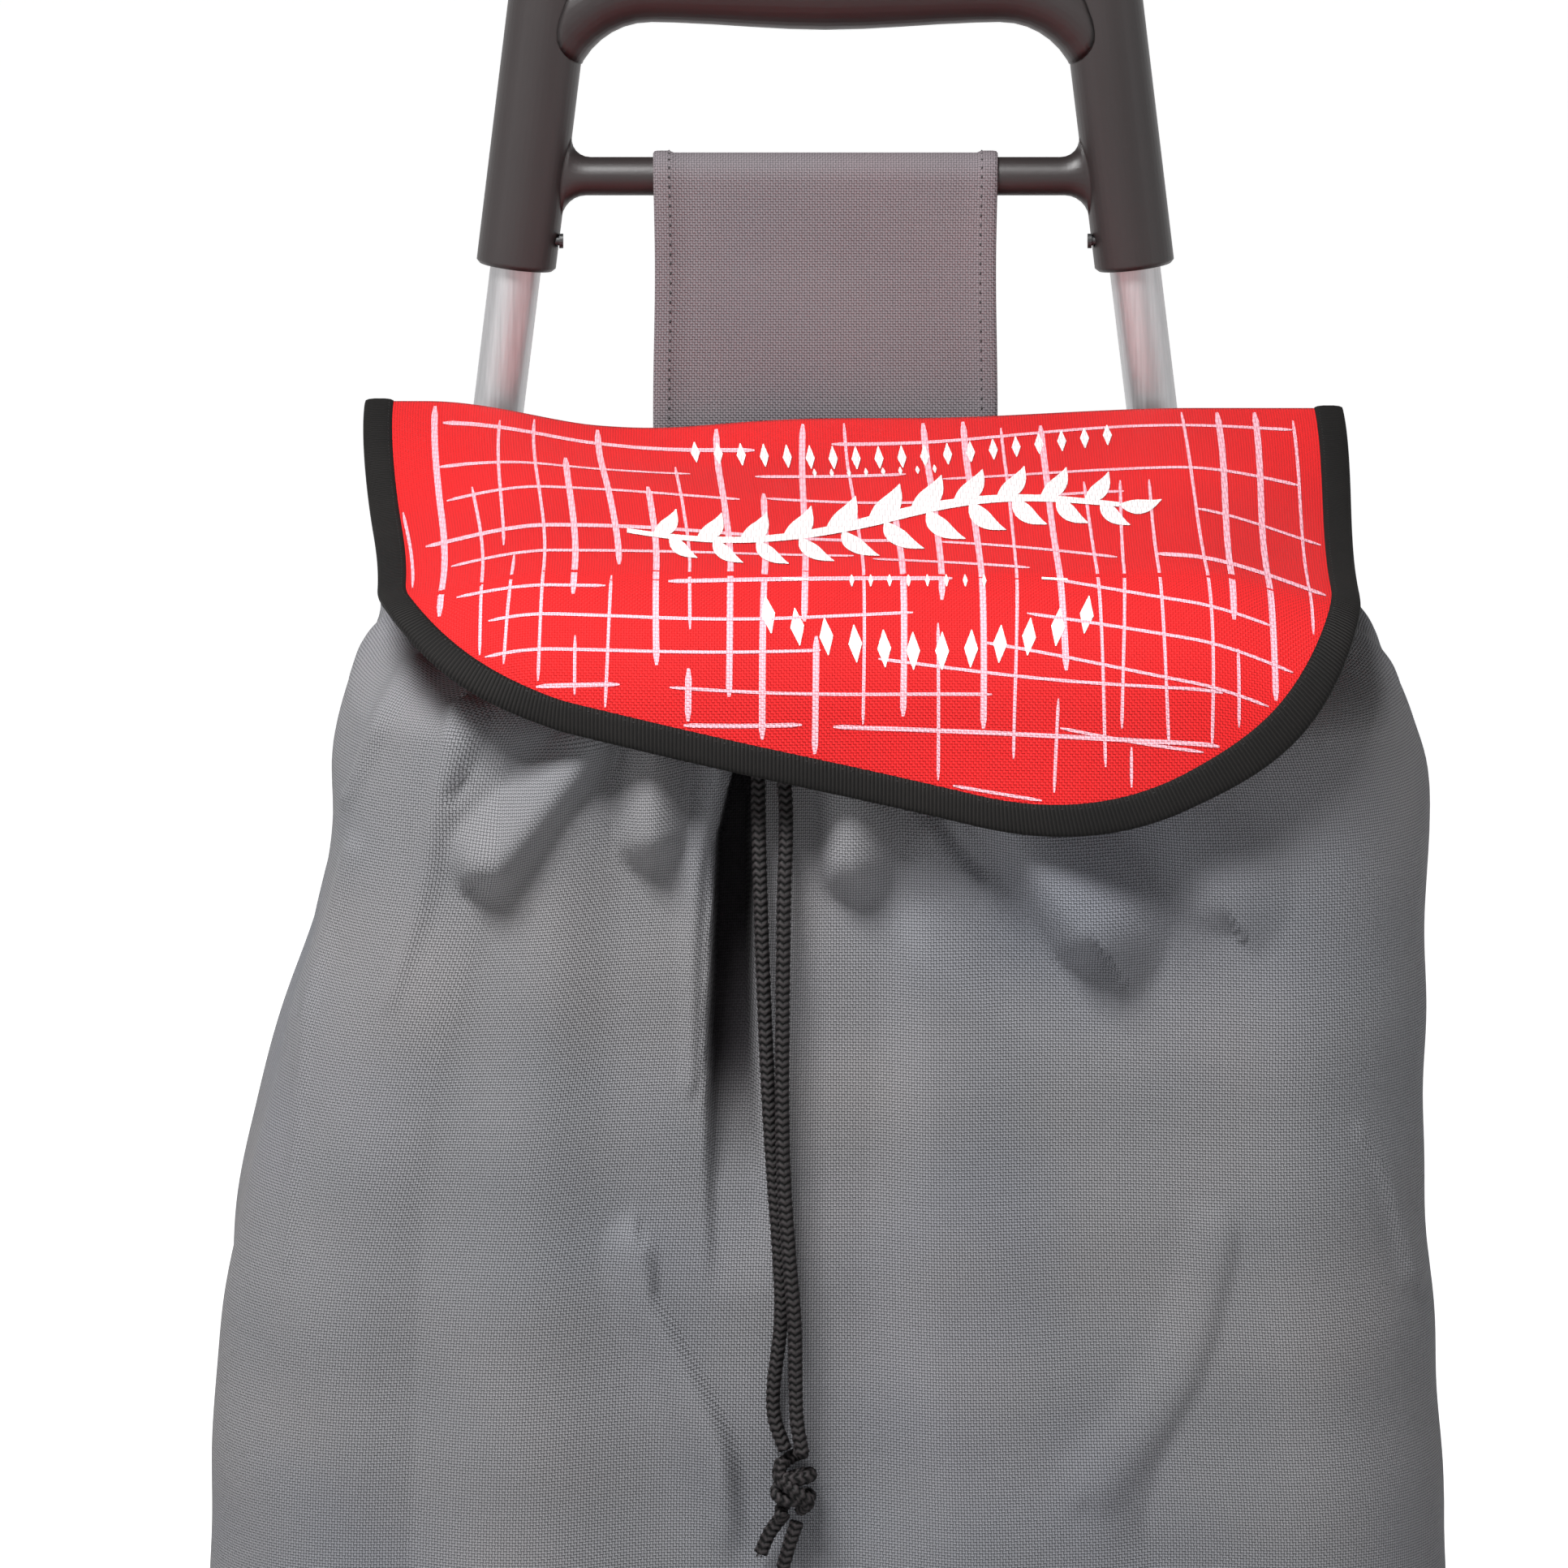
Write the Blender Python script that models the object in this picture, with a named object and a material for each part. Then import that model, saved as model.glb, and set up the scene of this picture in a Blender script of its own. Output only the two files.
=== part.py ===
"""A two-wheeled shopping trolley: tube frame, moulded handle, and a gathered cloth bag under a hinged flap.

Metres, +Z up. The front of the bag faces -Y. The origin is on the floor, in the middle of the trolley's box.
"""

import math

import bmesh
import bpy
from mathutils import Matrix, Vector

# Driving dimensions
GAP = 0.0003  # kept between pieces that touch
TUBE_RADIUS = 0.009
TUBE_WALL = 0.0012
BASE_TUBE_RADIUS = 0.006
WHEEL_RADIUS = 0.080
WHEEL_WIDTH = 0.036
AXLE_RADIUS = 0.004
AXLE_REACH = 0.2000  # half of the axle's length
TYRE_SEAT = 0.066  # radius where the tyre sits on its rim
BRACKET_HALF = 0.0145
UPRIGHT_X = 0.139
UPRIGHT_Y = 0.095
BEND_Z = 0.580
SPLAY = math.radians(7.3)
BASE_Z = 0.165
CLOTH = 0.003

# Handle
SLEEVE_RADIUS = 0.0141
SLEEVE_BOTTOM = 0.811
SLEEVE_TOP = 0.924
CROSSBAR_Z = 0.843
CROSSBAR_RADIUS = 0.0068
CROSSBAR_FILLET = 0.0075
GRIP_Z = 0.911
TUBE_TOP = 0.872

# Bag
BAG_FLOOR = BASE_Z + BASE_TUBE_RADIUS + 0.0005
BAG_BACK = 0.0790
BAG_TOP_HALF_WIDTH = 0.170
BAG_HALF_WIDTH = 0.2080
BAG_SWAY = 0.0175  # how far the bag's top sags to the right
BAG_FLOOR_HALF_WIDTH = 0.190
BAG_FRONT_TOP = 0.695
FRONT_CORNER = 0.055
BACK_CORNER = 0.015
SEAM = 0.45  # degrees left open on each side of a front corner's seam

# Flap: it slopes forward from the hinge, turns over the shoulder and hangs
HINGE_Y = 0.075
HINGE_Z = 0.764
FLAP_SLOPE = math.radians(8)
FLAP_TOP_RUN = 0.2075
SHOULDER_RADIUS = 0.045
HANG_ANGLE = math.radians(83)
FLAP_LENGTH = 0.2964
FLAP_SKEW = 0.213  # how much longer the flap is per metre towards the right
FLAP_CENTRE = 0.010
FLAP_HALF_WIDTH = 0.172
FLAP_TAPER = 0.065  # share of its width that the flap loses from its hinge to its front
FLAP_CORNERS = {-1: 0.070, 1: 0.135}  # radius of the left and the right corner
FLAP_THICKNESS = 0.0026
BINDING_WIDTH = 0.010
BINDING_THICKNESS = 0.004

# Drawcords, each a route chosen by hand from the mouth over the front of the bag down to the knot
CORD_RADIUS = 0.0024
LEFT_CORD_ROUTE = [
    (-0.0212, -0.0880, 0.7310),
    (-0.0216, -0.0990, 0.7300),
    (-0.0220, -0.1130, 0.7270),
    (-0.0224, -0.1265, 0.7190),
    (-0.0226, -0.1400, 0.7078),
    (-0.0228, -0.1525, 0.6990),
    (-0.0229, -0.1552, 0.6880),
    (-0.0229, -0.1562, 0.676),
    (-0.0228, -0.1585, 0.656),
    (-0.0222, -0.1600, 0.632),
    (-0.0212, -0.1610, 0.602),
    (-0.0196, -0.1618, 0.566),
    (-0.0180, -0.1622, 0.540),
    (-0.0163, -0.1624, 0.516),
    (-0.0156, -0.1624, 0.493),
    (-0.0180, -0.1624, 0.470),
    (-0.0176, -0.1626, 0.459),
    (-0.0142, -0.1632, 0.4490),
]
RIGHT_CORD_ROUTE = [
    (-0.0150, -0.0880, 0.7310),
    (-0.0154, -0.0990, 0.7300),
    (-0.0158, -0.1130, 0.7270),
    (-0.0162, -0.1265, 0.7190),
    (-0.0164, -0.1400, 0.7078),
    (-0.0163, -0.1525, 0.6990),
    (-0.0159, -0.1554, 0.6880),
    (-0.0140, -0.1592, 0.661),
    (-0.0146, -0.1618, 0.634),
    (-0.0150, -0.1638, 0.602),
    (-0.0152, -0.1656, 0.566),
    (-0.0146, -0.1668, 0.540),
    (-0.0130, -0.1674, 0.516),
    (-0.0112, -0.1673, 0.493),
    (-0.0108, -0.1668, 0.470),
    (-0.0103, -0.1674, 0.459),
    (-0.0086, -0.1680, 0.4490),
]
LEFT_TAIL_ROUTE = [(-0.0158, -0.1640, 0.4260), (-0.0195, -0.1636, 0.4205), (-0.0223, -0.1640, 0.4140)]
RIGHT_TAIL_ROUTE = [(-0.0103, -0.1660, 0.4252), (-0.0127, -0.1660, 0.4180), (-0.0150, -0.1655, 0.4095)]
KNOT_CENTRE = (-0.0114, -0.1650, 0.4374)
KNOT_SIZE = (0.0080, 0.0068, 0.0112)


# Materials

def paint(name, colour, roughness, metallic=0.0):
    material = bpy.data.materials.new(name)
    material.use_nodes = True
    shader = material.node_tree.nodes["Principled BSDF"]
    shader.inputs["Base Color"].default_value = (*colour, 1)
    shader.inputs["Roughness"].default_value = roughness
    shader.inputs["Metallic"].default_value = metallic
    material.diffuse_color = (*colour, 1)
    return material


# Building blocks

def place(name, mesh, material):
    thing = bpy.data.objects.new(name, mesh)
    thing.data.materials.append(material)
    bpy.context.collection.objects.link(thing)
    return thing


def helper(thing):
    """Keeps a cutter or a piece that is joined elsewhere out of the model."""
    thing.hide_render = True
    thing.display_type = "WIRE"
    return thing


def settle(thing, sharp=math.radians(32)):
    """Bakes the modifiers in and shades the result smooth, with sharp corners kept."""
    graph = bpy.context.evaluated_depsgraph_get()
    mesh = bpy.data.meshes.new_from_object(thing.evaluated_get(graph))
    thing.modifiers.clear()
    thing.data = mesh
    mesh.shade_smooth()
    mesh.set_sharp_from_angle(angle=sharp)
    return thing


def boolean(thing, other, operation):
    modifier = thing.modifiers.new(operation.title(), "BOOLEAN")
    modifier.operation = operation
    modifier.solver = "EXACT"
    modifier.object = helper(other)


def cut(thing, *others):
    for other in others:
        boolean(thing, other, "DIFFERENCE")
    return thing


def join(thing, *others):
    for other in others:
        boolean(thing, other, "UNION")
    return thing


def mesh_from(name, corners, faces):
    mesh = bpy.data.meshes.new(name)
    mesh.from_pydata(corners, [], faces)
    mesh.update()
    return mesh


def outward(mesh):
    """Merges doubled points and turns every face outward."""
    body = bmesh.new()
    body.from_mesh(mesh)
    bmesh.ops.remove_doubles(body, verts=body.verts, dist=1e-6)
    bmesh.ops.recalc_face_normals(body, faces=body.faces)
    body.to_mesh(mesh)
    body.free()
    return mesh


def rounded_route(corners, radius, steps=6):
    """The straight runs between the corners, with an arc of this radius at each corner between the ends."""
    corners = [Vector(corner) for corner in corners]
    route = [corners[0]]
    for before, corner, after in zip(corners, corners[1:], corners[2:]):
        into = (before - corner).normalized()
        out = (after - corner).normalized()
        half_angle = into.angle(out) / 2
        centre = corner + (into + out).normalized() * (radius / math.sin(half_angle))
        first = corner + into * (radius / math.tan(half_angle)) - centre
        last = corner + out * (radius / math.tan(half_angle)) - centre
        for step in range(steps + 1):
            route.append(centre + first.slerp(last, step / steps).normalized() * radius)
    route.append(corners[-1])
    return route


def tube(name, route, radius, material, wall=None, scales=None, resolution=6):
    """A round tube along the route, solid and capped unless it has a wall. Scales swell it from point to point."""
    curve = bpy.data.curves.new(name, "CURVE")
    curve.dimensions = "3D"
    curve.bevel_depth = radius
    curve.bevel_resolution = resolution
    curve.use_fill_caps = wall is None
    spline = curve.splines.new("POLY")
    spline.points.add(len(route) - 1)
    for index, corner in enumerate(route):
        spline.points[index].co = (*corner, 1)
        spline.points[index].radius = scales[index] if scales else 1
    guide = bpy.data.objects.new(name + "_route", curve)
    bpy.context.collection.objects.link(guide)
    mesh = bpy.data.meshes.new_from_object(guide.evaluated_get(bpy.context.evaluated_depsgraph_get()))
    bpy.data.objects.remove(guide)
    mesh.materials.clear()
    thing = place(name, outward(mesh), material)
    if wall:
        solidify = thing.modifiers.new("Wall", "SOLIDIFY")
        solidify.thickness = wall
        solidify.offset = -1
    return settle(thing)


def cylinder(name, start, end, radius, material, sides=32):
    start, end = Vector(start), Vector(end)
    body = bmesh.new()
    bmesh.ops.create_cone(
        body, cap_ends=True, segments=sides, radius1=radius, radius2=radius, depth=(end - start).length
    )
    turn = (end - start).to_track_quat("Z", "Y").to_matrix().to_4x4()
    bmesh.ops.transform(body, matrix=Matrix.Translation((start + end) / 2) @ turn, verts=body.verts)
    mesh = bpy.data.meshes.new(name)
    body.to_mesh(mesh)
    body.free()
    return settle(place(name, mesh, material))


def block(name, low, high, material, bevel=0.0015):
    low, high = Vector(low), Vector(high)
    body = bmesh.new()
    bmesh.ops.create_cube(body, size=1)
    bmesh.ops.scale(body, vec=high - low, verts=body.verts)
    bmesh.ops.translate(body, vec=(low + high) / 2, verts=body.verts)
    if bevel:
        bmesh.ops.bevel(body, geom=body.edges, offset=bevel, segments=2, profile=0.5, affect="EDGES")
    mesh = bpy.data.meshes.new(name)
    body.to_mesh(mesh)
    body.free()
    return settle(place(name, mesh, material))


def turned(name, profile, centre, material, steps=36):
    """Spins a closed outline of (distance along X, radius) points about the X axis through the centre."""
    body = bmesh.new()
    corners = [body.verts.new((along, 0, radius)) for along, radius in profile]
    edges = [body.edges.new(pair) for pair in zip(corners, corners[1:] + corners[:1])]
    bmesh.ops.spin(
        body, geom=corners + edges, axis=(1, 0, 0), cent=(0, 0, 0), angle=2 * math.pi, steps=steps, use_merge=True
    )
    bmesh.ops.translate(body, vec=centre, verts=body.verts)
    mesh = bpy.data.meshes.new(name)
    body.to_mesh(mesh)
    body.free()
    return settle(place(name, outward(mesh), material))


def sheet(name, rows, thickness, material, offset=-1.0, closed=False):
    """A cloth of this thickness over rows of points. A closed one joins each row's last point to its first."""
    width = len(rows[0])
    corners = [corner for row in rows for corner in row]
    faces = []
    for row in range(len(rows) - 1):
        for column in range(width if closed else width - 1):
            here = row * width + column
            beside = row * width + (column + 1) % width
            faces.append((here, beside, beside + width, here + width))
    thing = place(name, mesh_from(name, corners, faces), material)
    solidify = thing.modifiers.new("Cloth", "SOLIDIFY")
    solidify.thickness = thickness
    solidify.offset = offset
    solidify.use_even_offset = True
    return settle(thing)


def slab(name, outline, low, high, material):
    """A flat board of this outline between two heights."""
    body = bmesh.new()
    face = body.faces.new([body.verts.new((x, y, low)) for x, y in outline])
    raised = bmesh.ops.extrude_face_region(body, geom=[face])
    moved = [item for item in raised["geom"] if isinstance(item, bmesh.types.BMVert)]
    bmesh.ops.translate(body, vec=(0, 0, high - low), verts=moved)
    mesh = bpy.data.meshes.new(name)
    body.to_mesh(mesh)
    body.free()
    return settle(place(name, outward(mesh), material))


def between(low, high, share):
    return low + (high - low) * share


def spread(low, high, count):
    """Evenly spaced values from low to high."""
    return [between(low, high, step / (count - 1)) for step in range(count)]


def smooth(share):
    """Eases from 0 to 1, and stays there outside."""
    share = min(max(share, 0), 1)
    return share * share * (3 - 2 * share)


def side_name(side):
    return "left" if side < 0 else "right"


# Frame

def upright_x(z):
    """Distance of an upright's axis from the middle: vertical below the bend, leaning inward above it."""
    return UPRIGHT_X - max(z - BEND_Z, 0) * math.tan(SPLAY)


def on_upright(side, z):
    return Vector((side * upright_x(z), UPRIGHT_Y, z))


def upright_tubes(material):
    foot_z = WHEEL_RADIUS + 0.020
    bend_radius = 0.25
    for side in (-1, 1):
        corners = [on_upright(side, z) for z in (foot_z, BEND_Z, TUBE_TOP)]
        route = rounded_route(corners, bend_radius, steps=5)
        tube(side_name(side) + "_upright_tube", route, TUBE_RADIUS, material, wall=TUBE_WALL, resolution=16)


def upright_cutter(side, z, reach=0.03):
    """A cylinder round an upright near this height, that copes a tube welded to it."""
    name = f"{side_name(side)}_cope_{z:.2f}"
    return cylinder(name, on_upright(side, z - reach), on_upright(side, z + reach), TUBE_RADIUS + GAP, None)


def cross_bars(material):
    upper_z, bar_wall = 0.500, 0.001
    for name, z in (("upper_cross_bar", upper_z), ("lower_cross_bar", BASE_Z)):
        ends = [on_upright(side, z) for side in (-1, 1)]
        bar = tube(name, ends, BASE_TUBE_RADIUS, material, wall=bar_wall, resolution=4)
        cut(bar, upright_cutter(-1, z), upright_cutter(1, z))
        settle(bar)


def base_loop(material):
    front, corner_radius, rod_radius = -0.110, 0.035, 0.003
    corners = [
        (-UPRIGHT_X, UPRIGHT_Y, BASE_Z),
        (-UPRIGHT_X, front, BASE_Z),
        (UPRIGHT_X, front, BASE_Z),
        (UPRIGHT_X, UPRIGHT_Y, BASE_Z),
    ]
    loop = tube("base_loop", rounded_route(corners, corner_radius), BASE_TUBE_RADIUS, material, resolution=4)
    cut(loop, upright_cutter(-1, BASE_Z + 0.0005), upright_cutter(1, BASE_Z + 0.0005))
    settle(loop)
    for name, y in (("base_rod_front", -0.035), ("base_rod_rear", 0.040)):
        reach = UPRIGHT_X - BASE_TUBE_RADIUS - GAP
        cylinder(name, (-reach, y, BASE_Z), (reach, y, BASE_Z), rod_radius, material, sides=12)


def front_stand(metal, rubber):
    """A loop of tube that drops from the base loop's front to the floor, with a rubber foot clipped under each end."""
    half_width, corner_radius = 0.095, 0.025
    foot_x, pad_half_length, pad_half_depth, pad_height = 0.050, 0.018, 0.010, 0.0135
    top = (-0.110, BASE_Z - BASE_TUBE_RADIUS - GAP)
    foot = (-0.128, 0.013)
    corners = [
        (-half_width, *top),
        (-half_width, *foot),
        (half_width, *foot),
        (half_width, *top),
    ]
    tube("front_stand", rounded_route(corners, corner_radius), BASE_TUBE_RADIUS, metal, resolution=4)
    for side in (-1, 1):
        middle = side * foot_x
        name = side_name(side) + "_foot"
        low = (middle - pad_half_length, foot[0] - pad_half_depth, 0)
        high = (middle + pad_half_length, foot[0] + pad_half_depth, pad_height)
        pad = block(name, low, high, rubber)
        groove = cylinder(
            name + "_groove",
            (middle - 2 * pad_half_length, *foot),
            (middle + 2 * pad_half_length, *foot),
            BASE_TUBE_RADIUS + GAP,
            None,
            sides=24,
        )
        settle(cut(pad, groove))


def axle_brackets(plastic, steel):
    """Blocks that take the foot of each upright and the axle, and the axle itself."""
    below_axle, bracket_top, past = 0.018, 0.138, 0.022
    for side in (-1, 1):
        x = side * UPRIGHT_X
        name = side_name(side) + "_axle_bracket"
        low = (x - BRACKET_HALF, UPRIGHT_Y - BRACKET_HALF, WHEEL_RADIUS - below_axle)
        high = (x + BRACKET_HALF, UPRIGHT_Y + BRACKET_HALF, bracket_top)
        bracket = block(name, low, high, plastic, bevel=0.003)
        socket = cylinder(
            name + "_socket",
            (x, UPRIGHT_Y, WHEEL_RADIUS + 0.020 - GAP),
            (x, UPRIGHT_Y, bracket_top + past),
            TUBE_RADIUS + GAP,
            None,
        )
        bore = cylinder(
            name + "_bore",
            (x - past, UPRIGHT_Y, WHEEL_RADIUS),
            (x + past, UPRIGHT_Y, WHEEL_RADIUS),
            AXLE_RADIUS + GAP,
            None,
            sides=24,
        )
        settle(cut(bracket, socket, bore))
    ends = [(side * AXLE_REACH, UPRIGHT_Y, WHEEL_RADIUS) for side in (-1, 1)]
    cylinder("axle", *ends, AXLE_RADIUS, steel, sides=24)


# Wheels, each built outward from the bracket's outer face

def ring(near, far, inner, outer):
    """The outline of a plain ring: where it starts and ends along the axle, and its two radii."""
    return [(near, outer), (far, outer), (far, inner), (near, inner)]


def along(side, profile):
    return [(side * distance, radius) for distance, radius in profile]


def tyre(side, centre, material):
    half = WHEEL_WIDTH / 2 * 0.92
    shoulder = TYRE_SEAT + 0.002
    tread = [
        (half * math.cos(angle), shoulder + (WHEEL_RADIUS - shoulder) * math.sin(angle))
        for angle in spread(math.radians(7), math.radians(173), 7)
    ]
    profile = [(half, TYRE_SEAT), *tread, (-half, TYRE_SEAT)]
    turned(side_name(side) + "_tyre", along(side, profile), centre, material, steps=40)


def wheel_rim(side, centre, material):
    """Hub, web and seat in one moulding, with round windows through the web."""
    half = WHEEL_WIDTH / 2
    lip = half * 0.95
    seat = TYRE_SEAT - GAP
    hub_radius, hub_bore, web_half = 0.016, 0.0073, 0.003
    quarter = [
        (lip, seat),
        (lip, seat - 0.006),
        (web_half + 0.001, seat - 0.010),
        (web_half, hub_radius + 0.005),
        (half, hub_radius),
        (half, hub_bore),
    ]
    profile = quarter + [(-distance, radius) for distance, radius in reversed(quarter)]
    rim = turned(side_name(side) + "_wheel_rim", along(side, profile), centre, material, steps=40)
    windows, window_circle, window_radius = 6, 0.038, 0.0125
    through = Vector((WHEEL_WIDTH, 0, 0))
    for window in range(windows):
        angle = 2 * math.pi * window / windows
        middle = centre + Vector((0, math.cos(angle), math.sin(angle))) * window_circle
        name = f"{rim.name}_window_{window}"
        cut(rim, cylinder(name, middle - through, middle + through, window_radius, None, sides=16))
    settle(rim)


def wheels(rubber, plastic, nylon, steel):
    bracket_face = UPRIGHT_X + BRACKET_HALF
    washer_half, washer_offset = 0.00075, 0.0012
    for side in (-1, 1):
        name = side_name(side)
        hub_near = bracket_face + 0.0025
        centre = Vector((side * (hub_near + WHEEL_WIDTH / 2), UPRIGHT_Y, WHEEL_RADIUS))
        tyre(side, centre, rubber)
        wheel_rim(side, centre, plastic)
        half = WHEEL_WIDTH / 2
        bush = ring(-half, half, AXLE_RADIUS + GAP, 0.007)
        turned(name + "_wheel_bush", along(side, bush), centre, nylon, steps=24)
        washer = ring(-washer_half, washer_half, AXLE_RADIUS + GAP, 0.0095)
        washer_centre = Vector((side * (bracket_face + washer_offset), UPRIGHT_Y, WHEEL_RADIUS))
        turned(name + "_inner_washer", along(side, washer), washer_centre, steel, steps=24)
        outer_centre = Vector((centre.x + side * (half + washer_offset), UPRIGHT_Y, WHEEL_RADIUS))
        turned(name + "_outer_washer", along(side, washer), outer_centre, steel, steps=24)
        axle_cap(side, abs(outer_centre.x) + washer_offset, plastic)


def axle_cap(side, near, material):
    """A push-on cap, hollow over the axle's end."""
    profile = [
        (near, AXLE_RADIUS + GAP),
        (near, 0.0105),
        (AXLE_REACH + 0.0010, 0.0095),
        (AXLE_REACH + 0.0025, 0.0060),
        (AXLE_REACH + 0.0030, 0),
        (AXLE_REACH + GAP, 0),
        (AXLE_REACH + GAP, AXLE_RADIUS + GAP),
    ]
    turned(
        side_name(side) + "_axle_cap",
        along(side, profile),
        Vector((0, UPRIGHT_Y, WHEEL_RADIUS)),
        material,
        steps=24,
    )


# Handle

def sleeve(side, material):
    """One leg of the yoke: chamfered at its mouth, rounded at its top, and solid until it is bored."""
    name = side_name(side) + "_sleeve"
    bottom, top = on_upright(side, SLEEVE_BOTTOM), on_upright(side, SLEEVE_TOP)
    length = (top - bottom).length
    chamfer = 0.0012
    heights = [0, chamfer, length * 0.5]
    radii = [SLEEVE_RADIUS - chamfer, SLEEVE_RADIUS, SLEEVE_RADIUS]
    dome = SLEEVE_RADIUS * 0.9
    for angle in spread(0, math.radians(86), 7):
        heights.append(length - dome + dome * math.sin(angle))
        radii.append(SLEEVE_RADIUS * math.cos(angle))
    route = [bottom.lerp(top, height / length) for height in heights]
    scales = [radius / SLEEVE_RADIUS for radius in radii]
    return tube(name, route, SLEEVE_RADIUS, material, scales=scales, resolution=20)


def crossbar(material):
    """A round bar that flares up and down where it meets the sleeves, like a moulded fillet."""
    end = upright_x(CROSSBAR_Z)
    face = end - SLEEVE_RADIUS
    places = [-end]
    radii = [CROSSBAR_RADIUS + CROSSBAR_FILLET]
    for angle in spread(0, math.pi / 2, 7):
        places.append(-face + CROSSBAR_FILLET * (1 - math.cos(angle)))
        radii.append(CROSSBAR_RADIUS + CROSSBAR_FILLET * (1 - math.sin(angle)))
    places += [-x for x in reversed(places)]
    radii += list(reversed(radii))
    route = [Vector((x, 0, 0)) for x in places]
    bar = tube("crossbar", route, 1.0, material, scales=radii, resolution=14)
    for vertex in bar.data.vertices:
        vertex.co.y *= CROSSBAR_RADIUS / max(math.hypot(vertex.co.y, vertex.co.z), CROSSBAR_RADIUS)
        if abs(vertex.co.x) > face - CROSSBAR_FILLET * 1.5:
            vertex.co.x -= math.copysign(1, vertex.co.x) * math.tan(SPLAY) * vertex.co.z
        vertex.co += Vector((0, UPRIGHT_Y, CROSSBAR_Z))
    return bar


def screw_line(side, inner, outer):
    """Start and end of the screw's axis, along X from the middle of the trolley outward into a sleeve."""
    y, z = UPRIGHT_Y - 0.004, 0.8205
    middle = upright_x(z)
    return (side * (middle - inner), y, z), (side * (middle - outer), y, z)


def handle_yoke(material):
    yoke = sleeve(-1, material)
    yoke.name = "handle_yoke"
    join(yoke, sleeve(1, material), crossbar(material))
    for side in (-1, 1):
        name = side_name(side) + "_sleeve_bore"
        bore = cylinder(
            name, on_upright(side, SLEEVE_BOTTOM - 0.02), on_upright(side, TUBE_TOP + 0.002), TUBE_RADIUS + GAP, None
        )
        hole = cylinder(name + "_screw", *screw_line(side, 0.020, 0.006), 0.0019, None, sides=16)
        cut(yoke, bore, hole)
    return settle(yoke)


def handle_screws(material):
    for side in (-1, 1):
        screw = cylinder(
            side_name(side) + "_handle_screw", *screw_line(side, 0.0150, 0.0095), 0.0016, material, sides=16
        )
        head = cylinder("screw_head", *screw_line(side, 0.0157, 0.0143), 0.0026, material, sides=16)
        settle(join(screw, head))


def handle_grip(material):
    """The arch between the sleeves, thickest in the middle, coped where it runs into them."""
    half_span, drop = 0.0617, 0.0405
    foot_radius, arm_radius, belly_radius = 0.0134, 0.0138, 0.0165
    steps = 10
    route, scales = [], []
    for angle in spread(0, math.pi / 2, steps):
        route.append(Vector((-half_span - drop * math.cos(angle), UPRIGHT_Y, GRIP_Z - drop + drop * math.sin(angle))))
        scales.append(between(foot_radius, arm_radius, smooth(angle)))
    for share in spread(-0.86, 0.86, 9):
        route.append(Vector((half_span * share, UPRIGHT_Y, GRIP_Z)))
        scales.append(between(belly_radius, arm_radius, smooth(abs(share))))
    for corner, scale in zip(reversed(route[:steps]), reversed(scales[:steps])):
        route.append(Vector((-corner.x, corner.y, corner.z)))
        scales.append(scale)
    grip = tube("handle_grip", route, 1.0, material, scales=scales, resolution=18)
    for side in (-1, 1):
        shell = sleeve(side, None)
        shell.name = side_name(side) + "_grip_cope"
        grow_sleeve(shell, side)
        cut(grip, shell)
    return settle(grip)


def grow_sleeve(shell, side):
    """Swells a copy of the sleeve by the gap, so that the grip it copes clears the real one."""
    body = bmesh.new()
    body.from_mesh(shell.data)
    axis = (on_upright(side, SLEEVE_TOP) - on_upright(side, SLEEVE_BOTTOM)).normalized()
    for vertex in body.verts:
        nearest = on_upright(side, SLEEVE_BOTTOM)
        nearest = nearest + axis * (vertex.co - nearest).dot(axis)
        away = vertex.co - nearest
        vertex.co = nearest + away * (1 + GAP * 1.3 / SLEEVE_RADIUS) + axis * GAP
    body.to_mesh(shell.data)
    body.free()


# Hanging strap and tube tabs

def hanging_strap(material):
    """A webbing loop over the crossbar. Both of its ends are sewn behind the top of the bag."""
    half_width, thickness = 0.0605, 0.0014
    free = CROSSBAR_Z - 0.030  # below this the strap runs straight to the bag
    turn = CROSSBAR_RADIUS + GAP + thickness / 2
    panel = BAG_BACK + CLOTH + GAP * 2 + thickness / 2
    line = [(panel, 0.706), (panel, 0.742), (UPRIGHT_Y - turn, free)]
    for angle in spread(math.pi, 0, 9):
        line.append((UPRIGHT_Y + turn * math.cos(angle), CROSSBAR_Z + turn * math.sin(angle)))
    line.append((UPRIGHT_Y + turn, free))
    line.append((panel + thickness + GAP * 2, 0.745))
    line.append((panel + thickness + GAP * 2, 0.712))
    rows = [[(x, y, z) for x in (-half_width, 0, half_width)] for y, z in line]
    return sheet("hanging_strap", rows, thickness, material, offset=0)


def tube_tabs(material):
    """A webbing loop on each side of the bag's back, round the upright."""
    z, half_height = 0.300, 0.0125
    for side in (-1, 1):
        x = side * UPRIGHT_X
        name = side_name(side) + "_tube_tab"
        low, high = (x, UPRIGHT_Y, z - half_height), (x, UPRIGHT_Y, z + half_height)
        tab = cylinder(name, low, high, TUBE_RADIUS + 0.0022, material, sides=28)
        flange = block(
            name + "_flange",
            (x - 0.020, BAG_BACK + CLOTH + GAP * 2, z - half_height),
            (x + 0.020, BAG_BACK + CLOTH + 0.0022, z + half_height),
            None,
            bevel=0,
        )
        hole = cylinder(name + "_hole", (x, UPRIGHT_Y, z - 0.02), (x, UPRIGHT_Y, z + 0.02), TUBE_RADIUS + 0.0006, None)
        settle(cut(join(tab, flange), hole))


# Bag

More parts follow.
